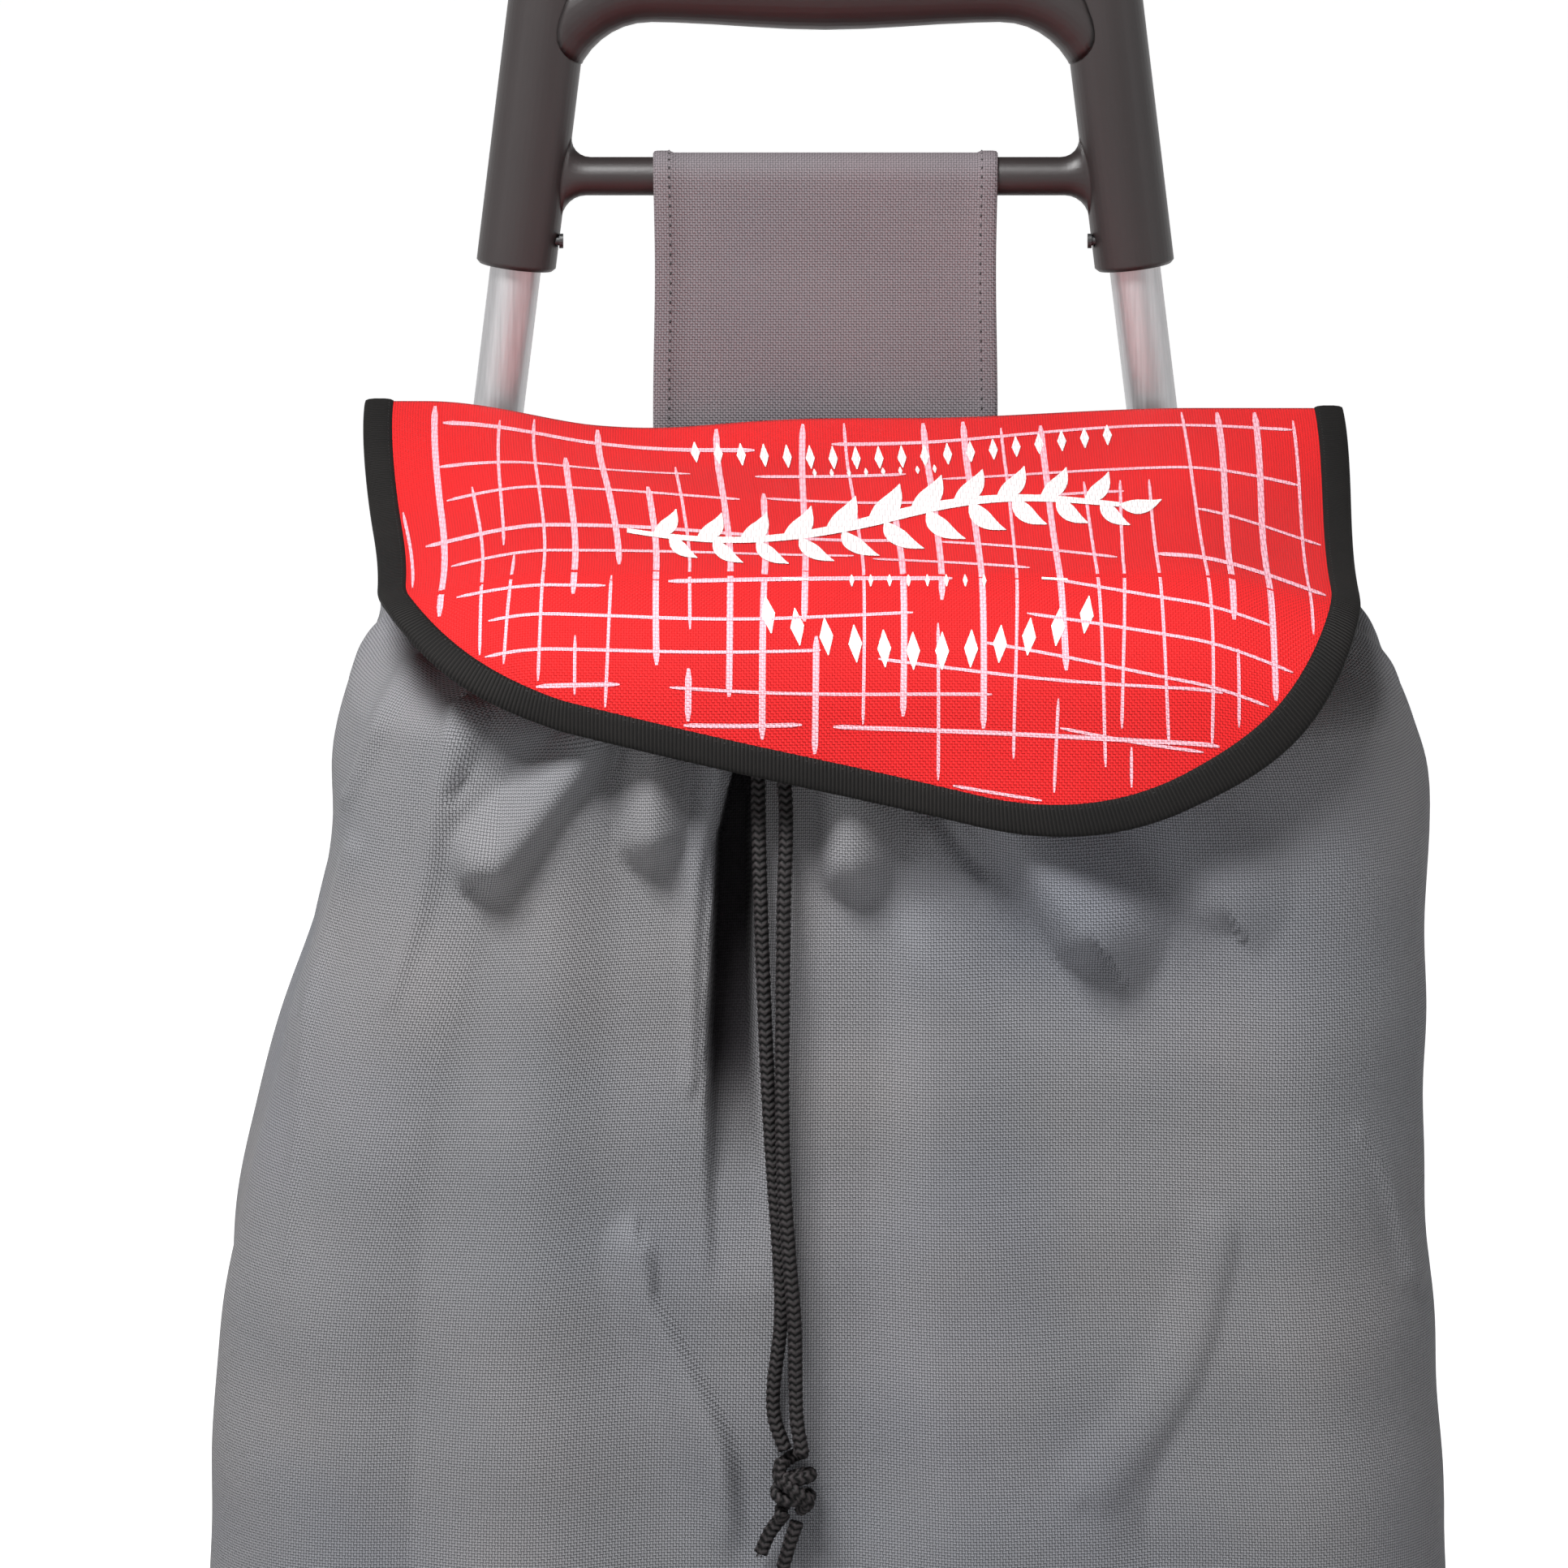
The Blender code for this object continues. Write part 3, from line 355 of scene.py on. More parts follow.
def woven(name, dark, light, pitch, roughness, tint=(1, 1, 1)):
    """Woven cloth: painted shade makes the gaps between threads dark and their crowns light, slow changes of
    tone across it, and painted shade turns the deep pleat black.
    """
    made = material(name, light, roughness, specular=0.25)
    # share of painted shade in the deep pleat, stored with the cloth places
    deep = split(made, cloth_point(made))[2]
    point = scaled(made, cloth_point(made), (1, 1, 0))
    threads = thread_height(made, point, pitch)
    slubs = noise(made, scaled(made, point, (60, 700, 0)), 1.0)
    clouds = noise(made, point, 9.0, detail=2.0)
    colour = layered(
        made,
        # painted shade: the gaps between the threads are dark and the thread crowns light
        ramp(made, threads, (0.15, dark), (0.95, light)),
        ramp(made, clouds, (0.3, (0.90, 0.92, 0.96)), (0.7, (1.06, 1.03, 1.03))),
        ramp(made, noise(made, point, 5.0), (0.45, (1, 1, 1)), (0.75, tint)),
        # painted shade: the cloth darkens to near black deep in the pleat
        ramp(made, deep, (0.0, (1, 1, 1)), (1.0, (0.10, 0.09, 0.10))),
    )
    finish(made, "Base Color", colour)
    finish(made, "Roughness", weighted(made, clouds, 0.12, roughness - 0.06))
    finish(made, "Sheen Weight", 0.03)
    finish(made, "Sheen Roughness", 0.5)
    bump(made, weighted(made, slubs, 0.35, threads), 0.75, pitch * 0.35)
    return made


def object_weave(name, colour, pitch):
    """Woven cloth on a part of the frame, which holds no cloth places."""
    made = material(name, colour, 0.8)
    threads = thread_height(made, object_point(made), pitch)
    # painted shade: the gaps between the threads are darker, the thread crowns lighter
    finish(made, "Base Color", ramp(made, threads, (0.2, colour), (1, lighter(colour, 2.2))))
    bump(made, threads, 0.6, pitch * 0.4)
    return made


def ribbed_tape(name, colour, pitch):
    """Grosgrain tape: fine ribs straight across it, with painted highlights on their crests and painted shade
    between them, worn paler here and there.
    """
    made = material(name, colour, 0.72, specular=0.2)
    point = cloth_point(made)
    ribs = weighted(made, waves(made, split(made, point)[0], pitch), 0.5, 0.5)
    # painted highlight and shade: the rib crests lighter, the hollows between them darker
    tone = ramp(made, ribs, (0.2, colour), (1.0, lighter(colour, 3.2)))
    worn = ramp(made, noise(made, point, 14.0), (0.35, (0.75, 0.75, 0.75)), (0.8, (1.35, 1.3, 1.25)))
    finish(made, "Base Color", layered(made, tone, worn))
    bump(made, weighted(made, noise(made, point, 900.0), 0.4, ribs), 0.8, 0.0004)
    return made


def braid_material():
    """Plaited cord: painted shade makes the gaps between the plaits black and the plaits lighter, and loose
    fibres over both.
    """
    made = material("braided_cord", (0.014, 0.014, 0.015), 0.62, specular=0.2)
    point = cloth_point(made)
    along, across = split(made, point)[:2]
    row = maths(made, "FRACT", weighted(made, across, PLAIT_ROWS / (2 * pi * CORD_RADIUS)))
    off_middle = maths(made, "ABSOLUTE", maths(made, "SUBTRACT", row, 0.5))
    stitch = weighted(made, off_middle, PLAIT_LEAN, weighted(made, along, 1 / PLAIT_PITCH))
    crown = waves(made, maths(made, "FRACT", stitch), 2)
    fibres = noise(made, scaled(made, point, (2500, 400, 0)), 1.0)
    # painted shade: the gaps between the plaits are black, the plait crowns lighter
    tone = ramp(made, crown, (0.35, (0.001, 0.001, 0.001)), (1.0, (0.034, 0.030, 0.031)))
    flecks = ramp(made, fibres, (0.3, (0.55, 0.55, 0.55)), (0.75, (1.3, 1.25, 1.25)))
    finish(made, "Base Color", layered(made, tone, flecks))
    bump(made, weighted(made, fibres, 0.3, crown), 0.8, 0.0004)
    return made


def moulded_plastic(name, colour, roughness, grain=900.0, depth=0.0001):
    """Fine spark-eroded grain, with slow changes of gloss where hands have rubbed it."""
    made = material(name, colour, roughness)
    point = object_point(made)
    rubbed = noise(made, point, 11.0, detail=2.0)
    finish(made, "Roughness", weighted(made, rubbed, 0.16, roughness - 0.08))
    finish(made, "Base Color", ramp(made, rubbed, (0.3, colour), (0.75, lighter(colour, 1.35))))
    bump(made, noise(made, point, grain, detail=2.0), 0.35, depth, rounding=0.0015)
    return made


def drawn_metal(name, colour, roughness, axis_scale):
    """Metal with fine lines along the way that it was drawn."""
    made = material(name, colour, roughness, metallic=1.0)
    lines = noise(made, scaled(made, object_point(made), axis_scale), 1.0, detail=4.0)
    finish(made, "Roughness", weighted(made, lines, 0.18, roughness - 0.09))
    finish(made, "Base Color", ramp(made, lines, (0.3, lighter(colour, 0.82)), (0.7, colour)))
    bump(made, lines, 0.12, 0.0001, rounding=0.001)
    return made


def painted_metal(name, colour):
    """Powder coat: a low orange peel, scuffed here and there."""
    made = material(name, colour, 0.42)
    point = object_point(made)
    scuffs = noise(made, scaled(made, point, (30, 30, 8)), 1.0, detail=6.0, roughness=0.7)
    finish(made, "Base Color", ramp(made, scuffs, (0.62, colour), (0.80, lighter(colour, 2.6))))
    bump(made, noise(made, point, 420.0), 0.25, 0.0002)
    return made


def tyre_rubber():
    """Moulded rubber with fine grooves round the tread and dust over it."""
    groove_pitch = 0.004
    made = material("moulded_rubber", (0.02, 0.02, 0.02), 0.8)
    point = object_point(made)
    grooves = waves(made, split(made, point)[0], groove_pitch)
    dust = noise(made, point, 25.0)
    finish(made, "Base Color", ramp(made, dust, (0.4, (0.016, 0.016, 0.016)), (0.8, (0.050, 0.048, 0.045))))
    bump(made, weighted(made, grooves, 0.5, noise(made, point, 500.0)), 0.5, 0.0006)
    return made


# Mesh building

def grid(name, points, places, made, closed_rows=False, thickness=0.0, offset=0.0):
    """A smooth surface over rows of points. Each keeps its place on the cloth, for the weave."""
    points = np.asarray(points, float)
    places = np.asarray(places, float)
    rows, columns = points.shape[:2]
    number = np.arange(rows * columns).reshape(rows, columns)
    if closed_rows:
        number = np.concatenate([number, number[:, :1]], axis=1)
    corners = [number[:-1, :-1], number[:-1, 1:], number[1:, 1:], number[1:, :-1]]
    faces = np.stack(corners, axis=-1).reshape(-1, 4)
    mesh = bpy.data.meshes.new(name)
    mesh.from_pydata(points.reshape(-1, 3).tolist(), [], faces.tolist())
    store_weave(mesh, places.reshape(-1, places.shape[-1]))
    mesh.shade_smooth()
    thing = place(name, mesh, made)
    if thickness:
        solidify = thing.modifiers.new("Cloth", "SOLIDIFY")
        solidify.thickness = thickness
        solidify.offset = offset
    return thing


def store_weave(mesh, places):
    attribute = mesh.attributes.new("weave", "FLOAT_VECTOR", "POINT")
    places = np.asarray(places, np.float32)
    flat = np.zeros((len(places), 3), np.float32)
    flat[:, :places.shape[1]] = places
    attribute.data.foreach_set("vector", flat.reshape(-1))


def linked(name, data):
    """A new object in the scene."""
    thing = bpy.data.objects.new(name, data)
    bpy.context.scene.collection.objects.link(thing)
    return thing


def place(name, mesh, made):
    mesh.materials.append(made)
    return linked(name, mesh)


def swept(name, rings, made):
    """A closed tube through rings of (point, place on the cloth)."""
    points, places = ([[pair[part] for pair in ring] for ring in rings] for part in (0, 1))
    tube = grid(name, points, places, made, closed_rows=True)
    body = bmesh.new()
    body.from_mesh(tube.data)
    corners = list(body.verts)
    sides = len(rings[0])
    body.faces.new(corners[sides - 1::-1])
    body.faces.new(corners[-sides:])
    body.to_mesh(tube.data)
    body.free()
    return tube


# Camera

def camera():
    lens = bpy.data.cameras.new("camera")
    lens.lens = VIEW_LENS
    lens.sensor_width = VIEW_SENSOR
    lens.clip_end = VIEW_REACH
    eye = linked("camera", lens)
    back = Vector((0, -cos(VIEW_ELEVATION), sin(VIEW_ELEVATION)))
    eye.location = VIEW_TARGET + back * VIEW_DISTANCE
    eye.rotation_euler = (-back).to_track_quat("-Z", "Y").to_euler()
    bpy.context.scene.camera = eye


# Drawcords

def plait(travelled, turn):
    """The share of the cord's radius at a place on it: rows of chevrons with gaps between them."""
    row = (turn * PLAIT_ROWS) % 1
    stitch = (travelled / PLAIT_PITCH + PLAIT_LEAN * abs(row - 0.5)) % 1
    return 1 - PLAIT_GAP + PLAIT_GAP * sin(pi * stitch) ** 0.7


def cord_mesh(name, route, radius, made):
    """Plaited cord along the route. Its sections never twist."""
    route = resampled(route, CORD_STEP)
    side = ahead_at(route, 0).orthogonal()
    rings = []
    for index, (point, travelled) in enumerate(zip(route, distances(route))):
        ahead = ahead_at(route, index)
        side = (side - ahead * side.dot(ahead)).normalized()
        up = ahead.cross(side)
        ring = []
        for turn in range(CORD_SIDES):
            angle = 2 * pi * turn / CORD_SIDES
            reach = radius * plait(travelled, turn / CORD_SIDES)
            spot = point + (side * cos(angle) + up * sin(angle)) * reach
            ring.append((spot, (travelled, radius * angle)))
        rings.append(ring)
    return swept(name, rings, made)


def drawcord(name, corners, made):
    route = smooth_route(corners, steps=6)
    return cord_mesh(name, route, CORD_RADIUS * 1.03, made), route


def frayed_tail(name, corners, made):
    """A short end whose last millimetres open into loose yarns."""
    route = smooth_route(corners, steps=6)
    tail = cord_mesh(name, route, CORD_RADIUS, made)
    route = resampled(route, CORD_STEP)
    body = bmesh.new()
    body.from_mesh(tail.data)
    ahead = (route[-1] - route[-4]).normalized()
    chance = random.Random(len(name))
    for _ in range(TAIL_YARNS):
        lean = Vector([chance.uniform(-1, 1) for _ in range(3)]) * 0.35
        off_axis = Vector([chance.uniform(-1, 1) for _ in range(2)] + [0]) * CORD_RADIUS * 0.55
        start = route[-1] + off_axis - ahead * YARN_SINK
        tip = body.verts.new(start + (ahead + lean).normalized() * chance.uniform(*YARN_LENGTHS))
        across = ahead.orthogonal().normalized() * YARN_RADIUS
        other = ahead.cross(across).normalized() * YARN_RADIUS
        foot = [body.verts.new(start + shift) for shift in (across, other, -across, -other)]
        for first, second in zip(foot, foot[1:] + foot[:1]):
            body.faces.new((first, second, tip))
    body.to_mesh(tail.data)
    body.free()
    return tail


def knot(made):
    """Both cords wound round themselves: a climbing coil with one strand across it."""
    wound = CORD_RADIUS * 0.98
    reach = KNOT_SIZE - Vector((wound, wound, wound))
    coil = []
    for share in spread(0, 1, 60):
        angle = 2 * pi * KNOT_TURNS * share + 0.6
        narrow = 1 - 0.30 * abs(2 * share - 1) ** 2
        x = reach.x * narrow * cos(angle)
        z = between(reach.z, -reach.z, share) + 0.0016 * sin(angle + 0.8)
        coil.append(KNOT_CENTRE + Vector((x, reach.y * sin(angle), z)))
    strand = smooth_route([KNOT_CENTRE + Vector(corner) for corner in KNOT_STRAND], 8)
    wrap = cord_mesh("drawcord_knot_coil", coil, wound, made)
    return wrap, cord_mesh("drawcord_knot_strand", strand, wound, made)


def cords():
    made = braid_material()
    left, left_route = drawcord("drawcord_left", LEFT_CORD_ROUTE, made)
    right, right_route = drawcord("drawcord_right", RIGHT_CORD_ROUTE, made)
    wrap, strand = knot(made)
    left_tail = frayed_tail("cord_tail_left", LEFT_TAIL_ROUTE, made)
    right_tail = frayed_tail("cord_tail_right", RIGHT_TAIL_ROUTE, made)
    for piece, node in (
        (left, "left_drawcord"),
        (right, "right_drawcord"),
        (wrap, "drawcord_knot"),
        (left_tail, "left_cord_tail"),
        (right_tail, "right_cord_tail"),
    ):
        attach(piece, "frame")
        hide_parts(node)
    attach(strand, "frame")


# Bag

def ridge(x, z, route, height, widths, ends=(1.0, 1.0), fullness=2.0):
    """How far a fold lifts the cloth at (x, z): most on its route, nothing past its width on each side.

    Widths are for the left and the right of the route, and ends scale height and width at its two ends.
    Fullness 2 blends the fold into the cloth, and a lower one leaves a crease round its foot.
    """
    nearest = np.full(x.shape, np.inf)
    lifted = np.zeros(x.shape)
    route = smooth_route(route)
    travelled = distances(route)
    for (ax, az), (bx, bz), start, end in zip(route, route[1:], travelled, travelled[1:]):
        dx, dz = (bx - ax) / (end - start), (bz - az) / (end - start)
        along = np.clip((x - ax) * dx + (z - az) * dz, 0, end - start)
        off_x, off_z = x - ax - along * dx, z - az - along * dz
        distance = np.hypot(off_x, off_z)
        scale = between(ends[0], ends[1], smooth((start + along) / travelled[-1]))
        is_left = dx * off_z - dz * off_x > 0
        width = np.where(is_left, widths[0], widths[1]) * np.maximum(scale, 0.15)
        here = scale * np.maximum(np.cos(np.minimum(distance / width, 1) * pi / 2), 0) ** fullness
        lifted = np.where(distance < nearest, here, lifted)
        nearest = np.minimum(distance, nearest)
    return lifted * height


# The deep pleat beside the drawcords: height, its left edge, its right edge, depth
PLEAT = [
    (0.500, -0.0400, -0.0150, 0.000), (0.535, -0.0405, -0.0180, 0.005), (0.557, -0.0405, -0.0195, 0.012),
    (0.585, -0.0405, -0.0210, 0.023), (0.615, -0.0389, -0.0220, 0.030), (0.650, -0.0375, -0.0225, 0.032),
    (0.666, -0.0335, -0.0225, 0.032), (0.682, -0.0290, -0.0225, 0.028), (0.705, -0.0265, -0.0225, 0.012),
]


def pleat(x, z):
    """How far the deep pleat sinks the cloth: a sharp left lip, and a floor that climbs back to the right."""
    heights, *columns = zip(*PLEAT)
    left, right, depth = (np.interp(z, heights, column) for column in columns)
    share = (x - left) / (right - left)
    return -depth * ease(share, 0, PLEAT_LIP) * ease(share, 1, 1 - PLEAT_RAMP)


# Full folds that run down from the mouth and out from under the flap. Each is a route over (x, z), the
# height, the widths to its left and right, and the scale at its two ends.
GATHERS = [
    ([(-0.044, 0.764), (-0.06, 0.716), (-0.074, 0.6902), (-0.0926, 0.6677), (-0.108, 0.651)],
     0.0145, (0.013, 0.0165), (0.25, 1.0)),
    ([(-0.04, 0.764), (-0.05, 0.716), (-0.057, 0.687), (-0.057, 0.656)],
     0.0135, (0.0135, 0.0145), (0.25, 1.0)),
    ([(0.003, 0.764), (0.005, 0.716), (0.0065, 0.68), (0.007, 0.6465)], 0.015, (0.018, 0.0165), (0.25, 1.0)),
    ([(0.03, 0.764), (0.038, 0.71), (0.0464, 0.6763), (0.0653, 0.6487), (0.083, 0.6235)],
     0.016, (0.029, 0.015), (0.25, 1.0)),
    ([(0.076, 0.764), (0.096, 0.696), (0.105, 0.6708), (0.126, 0.635)], 0.007, (0.028, 0.016), (0.25, 0.9)),
]

# Softer folds in the same terms: creases by the gathers, lines of strain, and the slow swell of the front
FOLDS = [
    ([(-0.096, 0.72), (-0.11, 0.6905), (-0.122, 0.672)], -0.013, (0.015, 0.008), (1.0, 0.25)),
    ([(0.024, 0.7), (0.034, 0.662), (0.05, 0.64)], -0.008, (0.013, 0.011), (1.0, 0.3)),
    ([(-0.1339, 0.718), (-0.1463, 0.6956), (-0.159, 0.6641)], 0.0034, (0.008, 0.006), (1.0, 0.4)),
    ([(-0.12, 0.7), (-0.127, 0.668), (-0.1304, 0.6514), (-0.137, 0.624), (-0.1466, 0.592)],
     0.005, (0.013, 0.006), (1.0, 0.3)),
    ([(-0.03, 0.71), (-0.037, 0.67), (-0.043, 0.64), (-0.0445, 0.57)], 0.005, (0.006, 0.014), (1.0, 0.4)),
    ([(0.033, 0.63), (0.06, 0.6), (0.085, 0.585)], -0.0035, (0.018, 0.018), (1.0, 0.4)),
    ([(-0.0616, 0.515), (-0.0575, 0.4967), (-0.0373, 0.4553), (-0.0238, 0.428)],
     0.009, (0.013, 0.03), (0.5, 0.8)),
    ([(-0.053, 0.501), (-0.033, 0.464), (-0.019, 0.42)], -0.008, (0.02, 0.012), (0.6, 0.7)),
    ([(-0.025, 0.54), (-0.016, 0.48), (-0.011, 0.39)], -0.007, (0.03, 0.024), (0.4, 1.0)),
    ([(0.1296, 0.5233), (0.1161, 0.4724), (0.0891, 0.4379)], 0.006, (0.034, 0.046), (0.35, 0.4)),
    ([(0.15, 0.53), (0.138, 0.466), (0.112, 0.42)], -0.005, (0.03, 0.028), (0.7, 0.9)),
    ([(-0.156, 0.65), (-0.1704, 0.6003), (-0.1766, 0.5387), (-0.179, 0.5086)],
     0.0034, (0.009, 0.007), (0.6, 0.3)),
    ([(0.1739, 0.5547), (0.1833, 0.5371), (0.1939, 0.5025)], 0.0034, (0.01, 0.007), (0.4, 0.8)),
    ([(0.179, 0.715), (0.1841, 0.695), (0.1887, 0.6826), (0.192, 0.67)], -0.0024, (0.003, 0.003), (1.0, 0.5)),
    ([(-0.085, 0.66), (-0.1, 0.52), (-0.102, 0.38), (-0.1, 0.27)], 0.015, (0.072, 0.078), (0.3, 1.0)),
    ([(0.033, 0.65), (0.036, 0.52), (0.048, 0.38), (0.05, 0.27)], 0.016, (0.12, 0.056), (0.3, 1.0)),
    ([(-0.145, 0.59), (-0.15, 0.48), (-0.145, 0.4)], -0.005, (0.035, 0.035), (0.4, 1.0)),
    ([(0.15, 0.65), (0.14, 0.59), (0.145, 0.54)], -0.005, (0.035, 0.035), (0.6, 0.8)),
    ([(-0.13, 0.36), (-0.05, 0.31), (0.03, 0.3)], -0.004, (0.034, 0.034), (0.3, 0.6)),
    ([(0.02, 0.36), (0.09, 0.32), (0.15, 0.335)], -0.0035, (0.032, 0.034), (0.5, 0.2)),
    ([(-0.15, 0.26), (-0.06, 0.23), (0.04, 0.24)], 0.0035, (0.028, 0.028), (0.3, 0.3)),
]


def bag_columns():
    """What places each column of the shell on the outline of any height, once round from the back.

    It is the side, the share of the width, a shift across, the share of the front, and a shift from it.
    """
    half = [(share, -share * BACK_CORNER, 0, 0) for share in spread(0, 1, 26)[:-1]]
    for angle in spread(pi / 2, 0, 8)[:-1]:
        half.append((1, BACK_CORNER * (cos(angle) - 1), 0, BACK_CORNER * (sin(angle) - 1)))
    for share in spread(0, 1, 34)[:-1]:
        half.append((1, 0, share, between(-BACK_CORNER, FRONT_CORNER, share)))
    for angle in spread(pi / 2, 0, 40)[:-1]:
        half.append((1, FRONT_CORNER * (sin(angle) - 1), 1, FRONT_CORNER * (1 - cos(angle))))
    half += [(share, -share * FRONT_CORNER, 1, 0) for share in spread(1, 0, 100)]
    left = [(-1, *column) for column in half]
    right = [(1, *column) for column in reversed(half[:-1])]
    return np.array(left + right).T


def bag_outline(columns, z, front, back):
    """x and y of each column at height z, an array with a value or a row for each column."""
    side, of_width, shift, of_front, inset = columns
    left, right = (np.interp(z, *zip(*smooth_route(edge, 6))) for edge in (LEFT_EDGE, RIGHT_EDGE))
    width = np.where(side < 0, left, right)
    x = side * (of_width * width + shift)
    y = of_front * front + (1 - of_front) * back + inset
    return x, y


def bag_front(z, foot, top):
    """The front bellies out most at a third of its height, over the shopping."""
    share = np.clip((z - foot) / (top - foot), 0, 1)
    return FRONT_Y - BELLY * np.sin(pi * share ** 0.8)


def under_flap(y):
    """The height of the flap's top over this y."""
    return HINGE_Z - (HINGE_Y - y) * tan(FLAP_SLOPE)


def bag_shell(made):
    """The whole bag in one sagging sheet: up its walls, over the shoulder, and gathered in to the mouth."""
    low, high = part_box("bag_front_panel")
    foot, top = low[2], high[2] + RIM_RISE
    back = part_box("bag_back_panel")[1][1] - BACK_INSET
    columns = bag_columns()
    rim_x, rim_y = bag_outline(columns, np.full(columns.shape[1], top), FRONT_Y, back)
    rim = between(top, under_flap(rim_y) - 0.026, ease(rim_y, -0.130, -0.070))
    rim += 0.010 * ease(rim_y, 0.050, 0.080)

    wall = np.linspace(0, 1, WALL_ROWS)[:, None]
    wall_z = foot + (rim - SHOULDER_DROP - foot) * wall
    wall_x, wall_y = bag_outline(columns, wall_z, bag_front(wall_z, foot, top), back)

    angle = np.arctan2(rim_y - MOUTH_Y, rim_x - BAG_SWAY)
    lip_x = BAG_SWAY + MOUTH_HALF_WIDTH * np.cos(angle)
    lip_y = MOUTH_Y + MOUTH_HALF_DEPTH * np.sin(angle)
    lip_z = under_flap(lip_y) - LIP_BELOW_FLAP
    turn = np.linspace(0, 1, SHOULDER_ROWS)[1:, None]
    rim_z = rim + 0.002
    axes = []
    for of_wall, of_rim, of_lip in ((wall_x, rim_x, lip_x), (wall_y, rim_y, lip_y), (wall_z, rim_z, lip_z)):
        shoulder = (1 - turn) ** 2 * of_wall[-1] + 2 * turn * (1 - turn) * of_rim + turn ** 2 * of_lip
        axes.append(np.concatenate([of_wall, shoulder]))
    points = np.stack(axes, axis=-1)

    steps_up = np.linalg.norm(np.diff(points, axis=0), axis=-1)
    up = foot + np.concatenate([np.zeros((1, points.shape[1])), np.cumsum(steps_up, axis=0)])
    steps_round = np.linalg.norm(np.diff(points[MEASURED_ROW], axis=0), axis=-1)
    around = np.concatenate([[0], np.cumsum(steps_round)])[None, :] + np.zeros((points.shape[0], 1))

    # painted shade: how far into the pleat's shade each point lies, which darkens the cloth's colour there,
    # on the front only
    pleat_painted_shade = ease(-pleat(points[..., 0], points[..., 2]), 0, PLEAT_SHADE_DEPTH)
    pleat_painted_shade *= ease(points[..., 1], *FRONT_STARTS)
    points += outward(points) * bag_relief(points, up, columns, angle)[..., None]
    places = np.stack([around, up, pleat_painted_shade], axis=-1)
    return grid("bag_shell", points, places, made, thickness=BAG_CLOTH, offset=-1)


def outward(points):
    """Unit normals of a grid that runs clockwise seen from above as its rows climb."""
    along_row = np.gradient(points, axis=1)
    along_column = np.gradient(points, axis=0)
    normals = np.cross(along_row, along_column)
    return normals / np.maximum(np.linalg.norm(normals, axis=-1, keepdims=True), 1e-12)


def bag_relief(points, up, columns, angle):
    """How far out of the smooth shell every point lies."""
    x, y, z = (points[..., axis] for axis in range(3))
    is_front = ease(y, *FRONT_STARTS)
    height = np.where(columns[3] > 0.99, up, z)
    folds = sum(ridge(x, height, *fold) for fold in FOLDS)
    for gather in GATHERS:
        folds = np.maximum(folds, ridge(x, height, *gather, fullness=1.3))
    beside_cords = ease(np.abs(x - CORDS_X), 0.009, 0.019)
    below_cords = ease(height, CORDS_END_Z, CORDS_END_Z - 0.02)
    folds = np.where(folds > 0, folds * np.maximum(beside_cords, below_cords), folds)
    folds = (folds + pleat(x, height)) * is_front
    pleats = np.sin(angle * MOUTH_PLEATS + 1.5 * np.sin(angle * 5)) * (1 - 0.6 * is_front)
    pleats = MOUTH_PLEAT_HEIGHT * pleats * ease(z, 0.690, 0.720)
    slack = np.sin(y * 42 + z * 17) + 0.6 * np.sin(y * 25 - z * 31)
    slack = SIDE_SLACK * slack * ease(np.abs(x), 0.125, 0.165) * (1 - is_front) * ease(z, 0.20, 0.26)
    wrinkles = FINE_WRINKLES * np.sin(z * 95 + x * 60) * np.sin(x * 75 - z * 28) * is_front
    return folds + pleats + slack + wrinkles


def bag():
    dark, light = (0.056, 0.057, 0.060), (0.250, 0.250, 0.256)
    shell = bag_shell(woven("oxford_cloth", dark, light, 0.00096, 0.78, tint=(0.93, 0.95, 1.03)))
    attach(shell, "frame")
    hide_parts("bag_front_panel", "bag_left_panel", "bag_right_panel", "bag_back_panel", "bag_collar")


# Flap

def flap_profile(run):
    """(y, z) on the flap's middle line, this far along it from the hinge."""
    top = min(run, FLAP_TOP_RUN)
    y = HINGE_Y - top * cos(FLAP_SLOPE)
    z = HINGE_Z - top * sin(FLAP_SLOPE)
    turn = min(max(run - FLAP_TOP_RUN, 0) / SHOULDER_RADIUS, HANG_ANGLE - FLAP_SLOPE)
    y -= SHOULDER_RADIUS * (sin(FLAP_SLOPE + turn) - sin(FLAP_SLOPE))
    z -= SHOULDER_RADIUS * (cos(FLAP_SLOPE) - cos(FLAP_SLOPE + turn))
    hang = max(run - FLAP_TOP_RUN - SHOULDER_RADIUS * (HANG_ANGLE - FLAP_SLOPE), 0)
    return y - hang * cos(HANG_ANGLE), z - hang * sin(HANG_ANGLE)


def flap_point(across, run):
    """Where a point of the flap lies. It droops at its sides, dips over the mouth, and waves at the hinge."""
    y, z = flap_profile(run)
    forward = ease(run, 0, FLAP_TOP_RUN)
    x = FLAP_CENTRE + 0.003 * forward + across * (1 - FLAP_TAPER * forward)
    droop = 0.012 * ease(abs(across), 0.110, 0.185) * ease(run, 0, 0.120)
    dip = 0.0055 * hump(across, -0.010, 0.070) * ease(run, 0, 0.06) * ease(run, 0.225, 0.125)
    hinge_wave = 0.006 * ease(across, -0.090, -0.150) + 0.0035 * ease(across, 0.020, 0.120)
    hinge_wave -= 0.004 + 0.0035 * hump(across, -0.072, 0.035)
    ripple = 0.0016 * sin(across * 44 + 0.9) * ease(run, 0.190, 0.250)
    return Vector((x, y + ripple, z - droop - dip + hinge_wave * ease(run, 0.12, 0)))


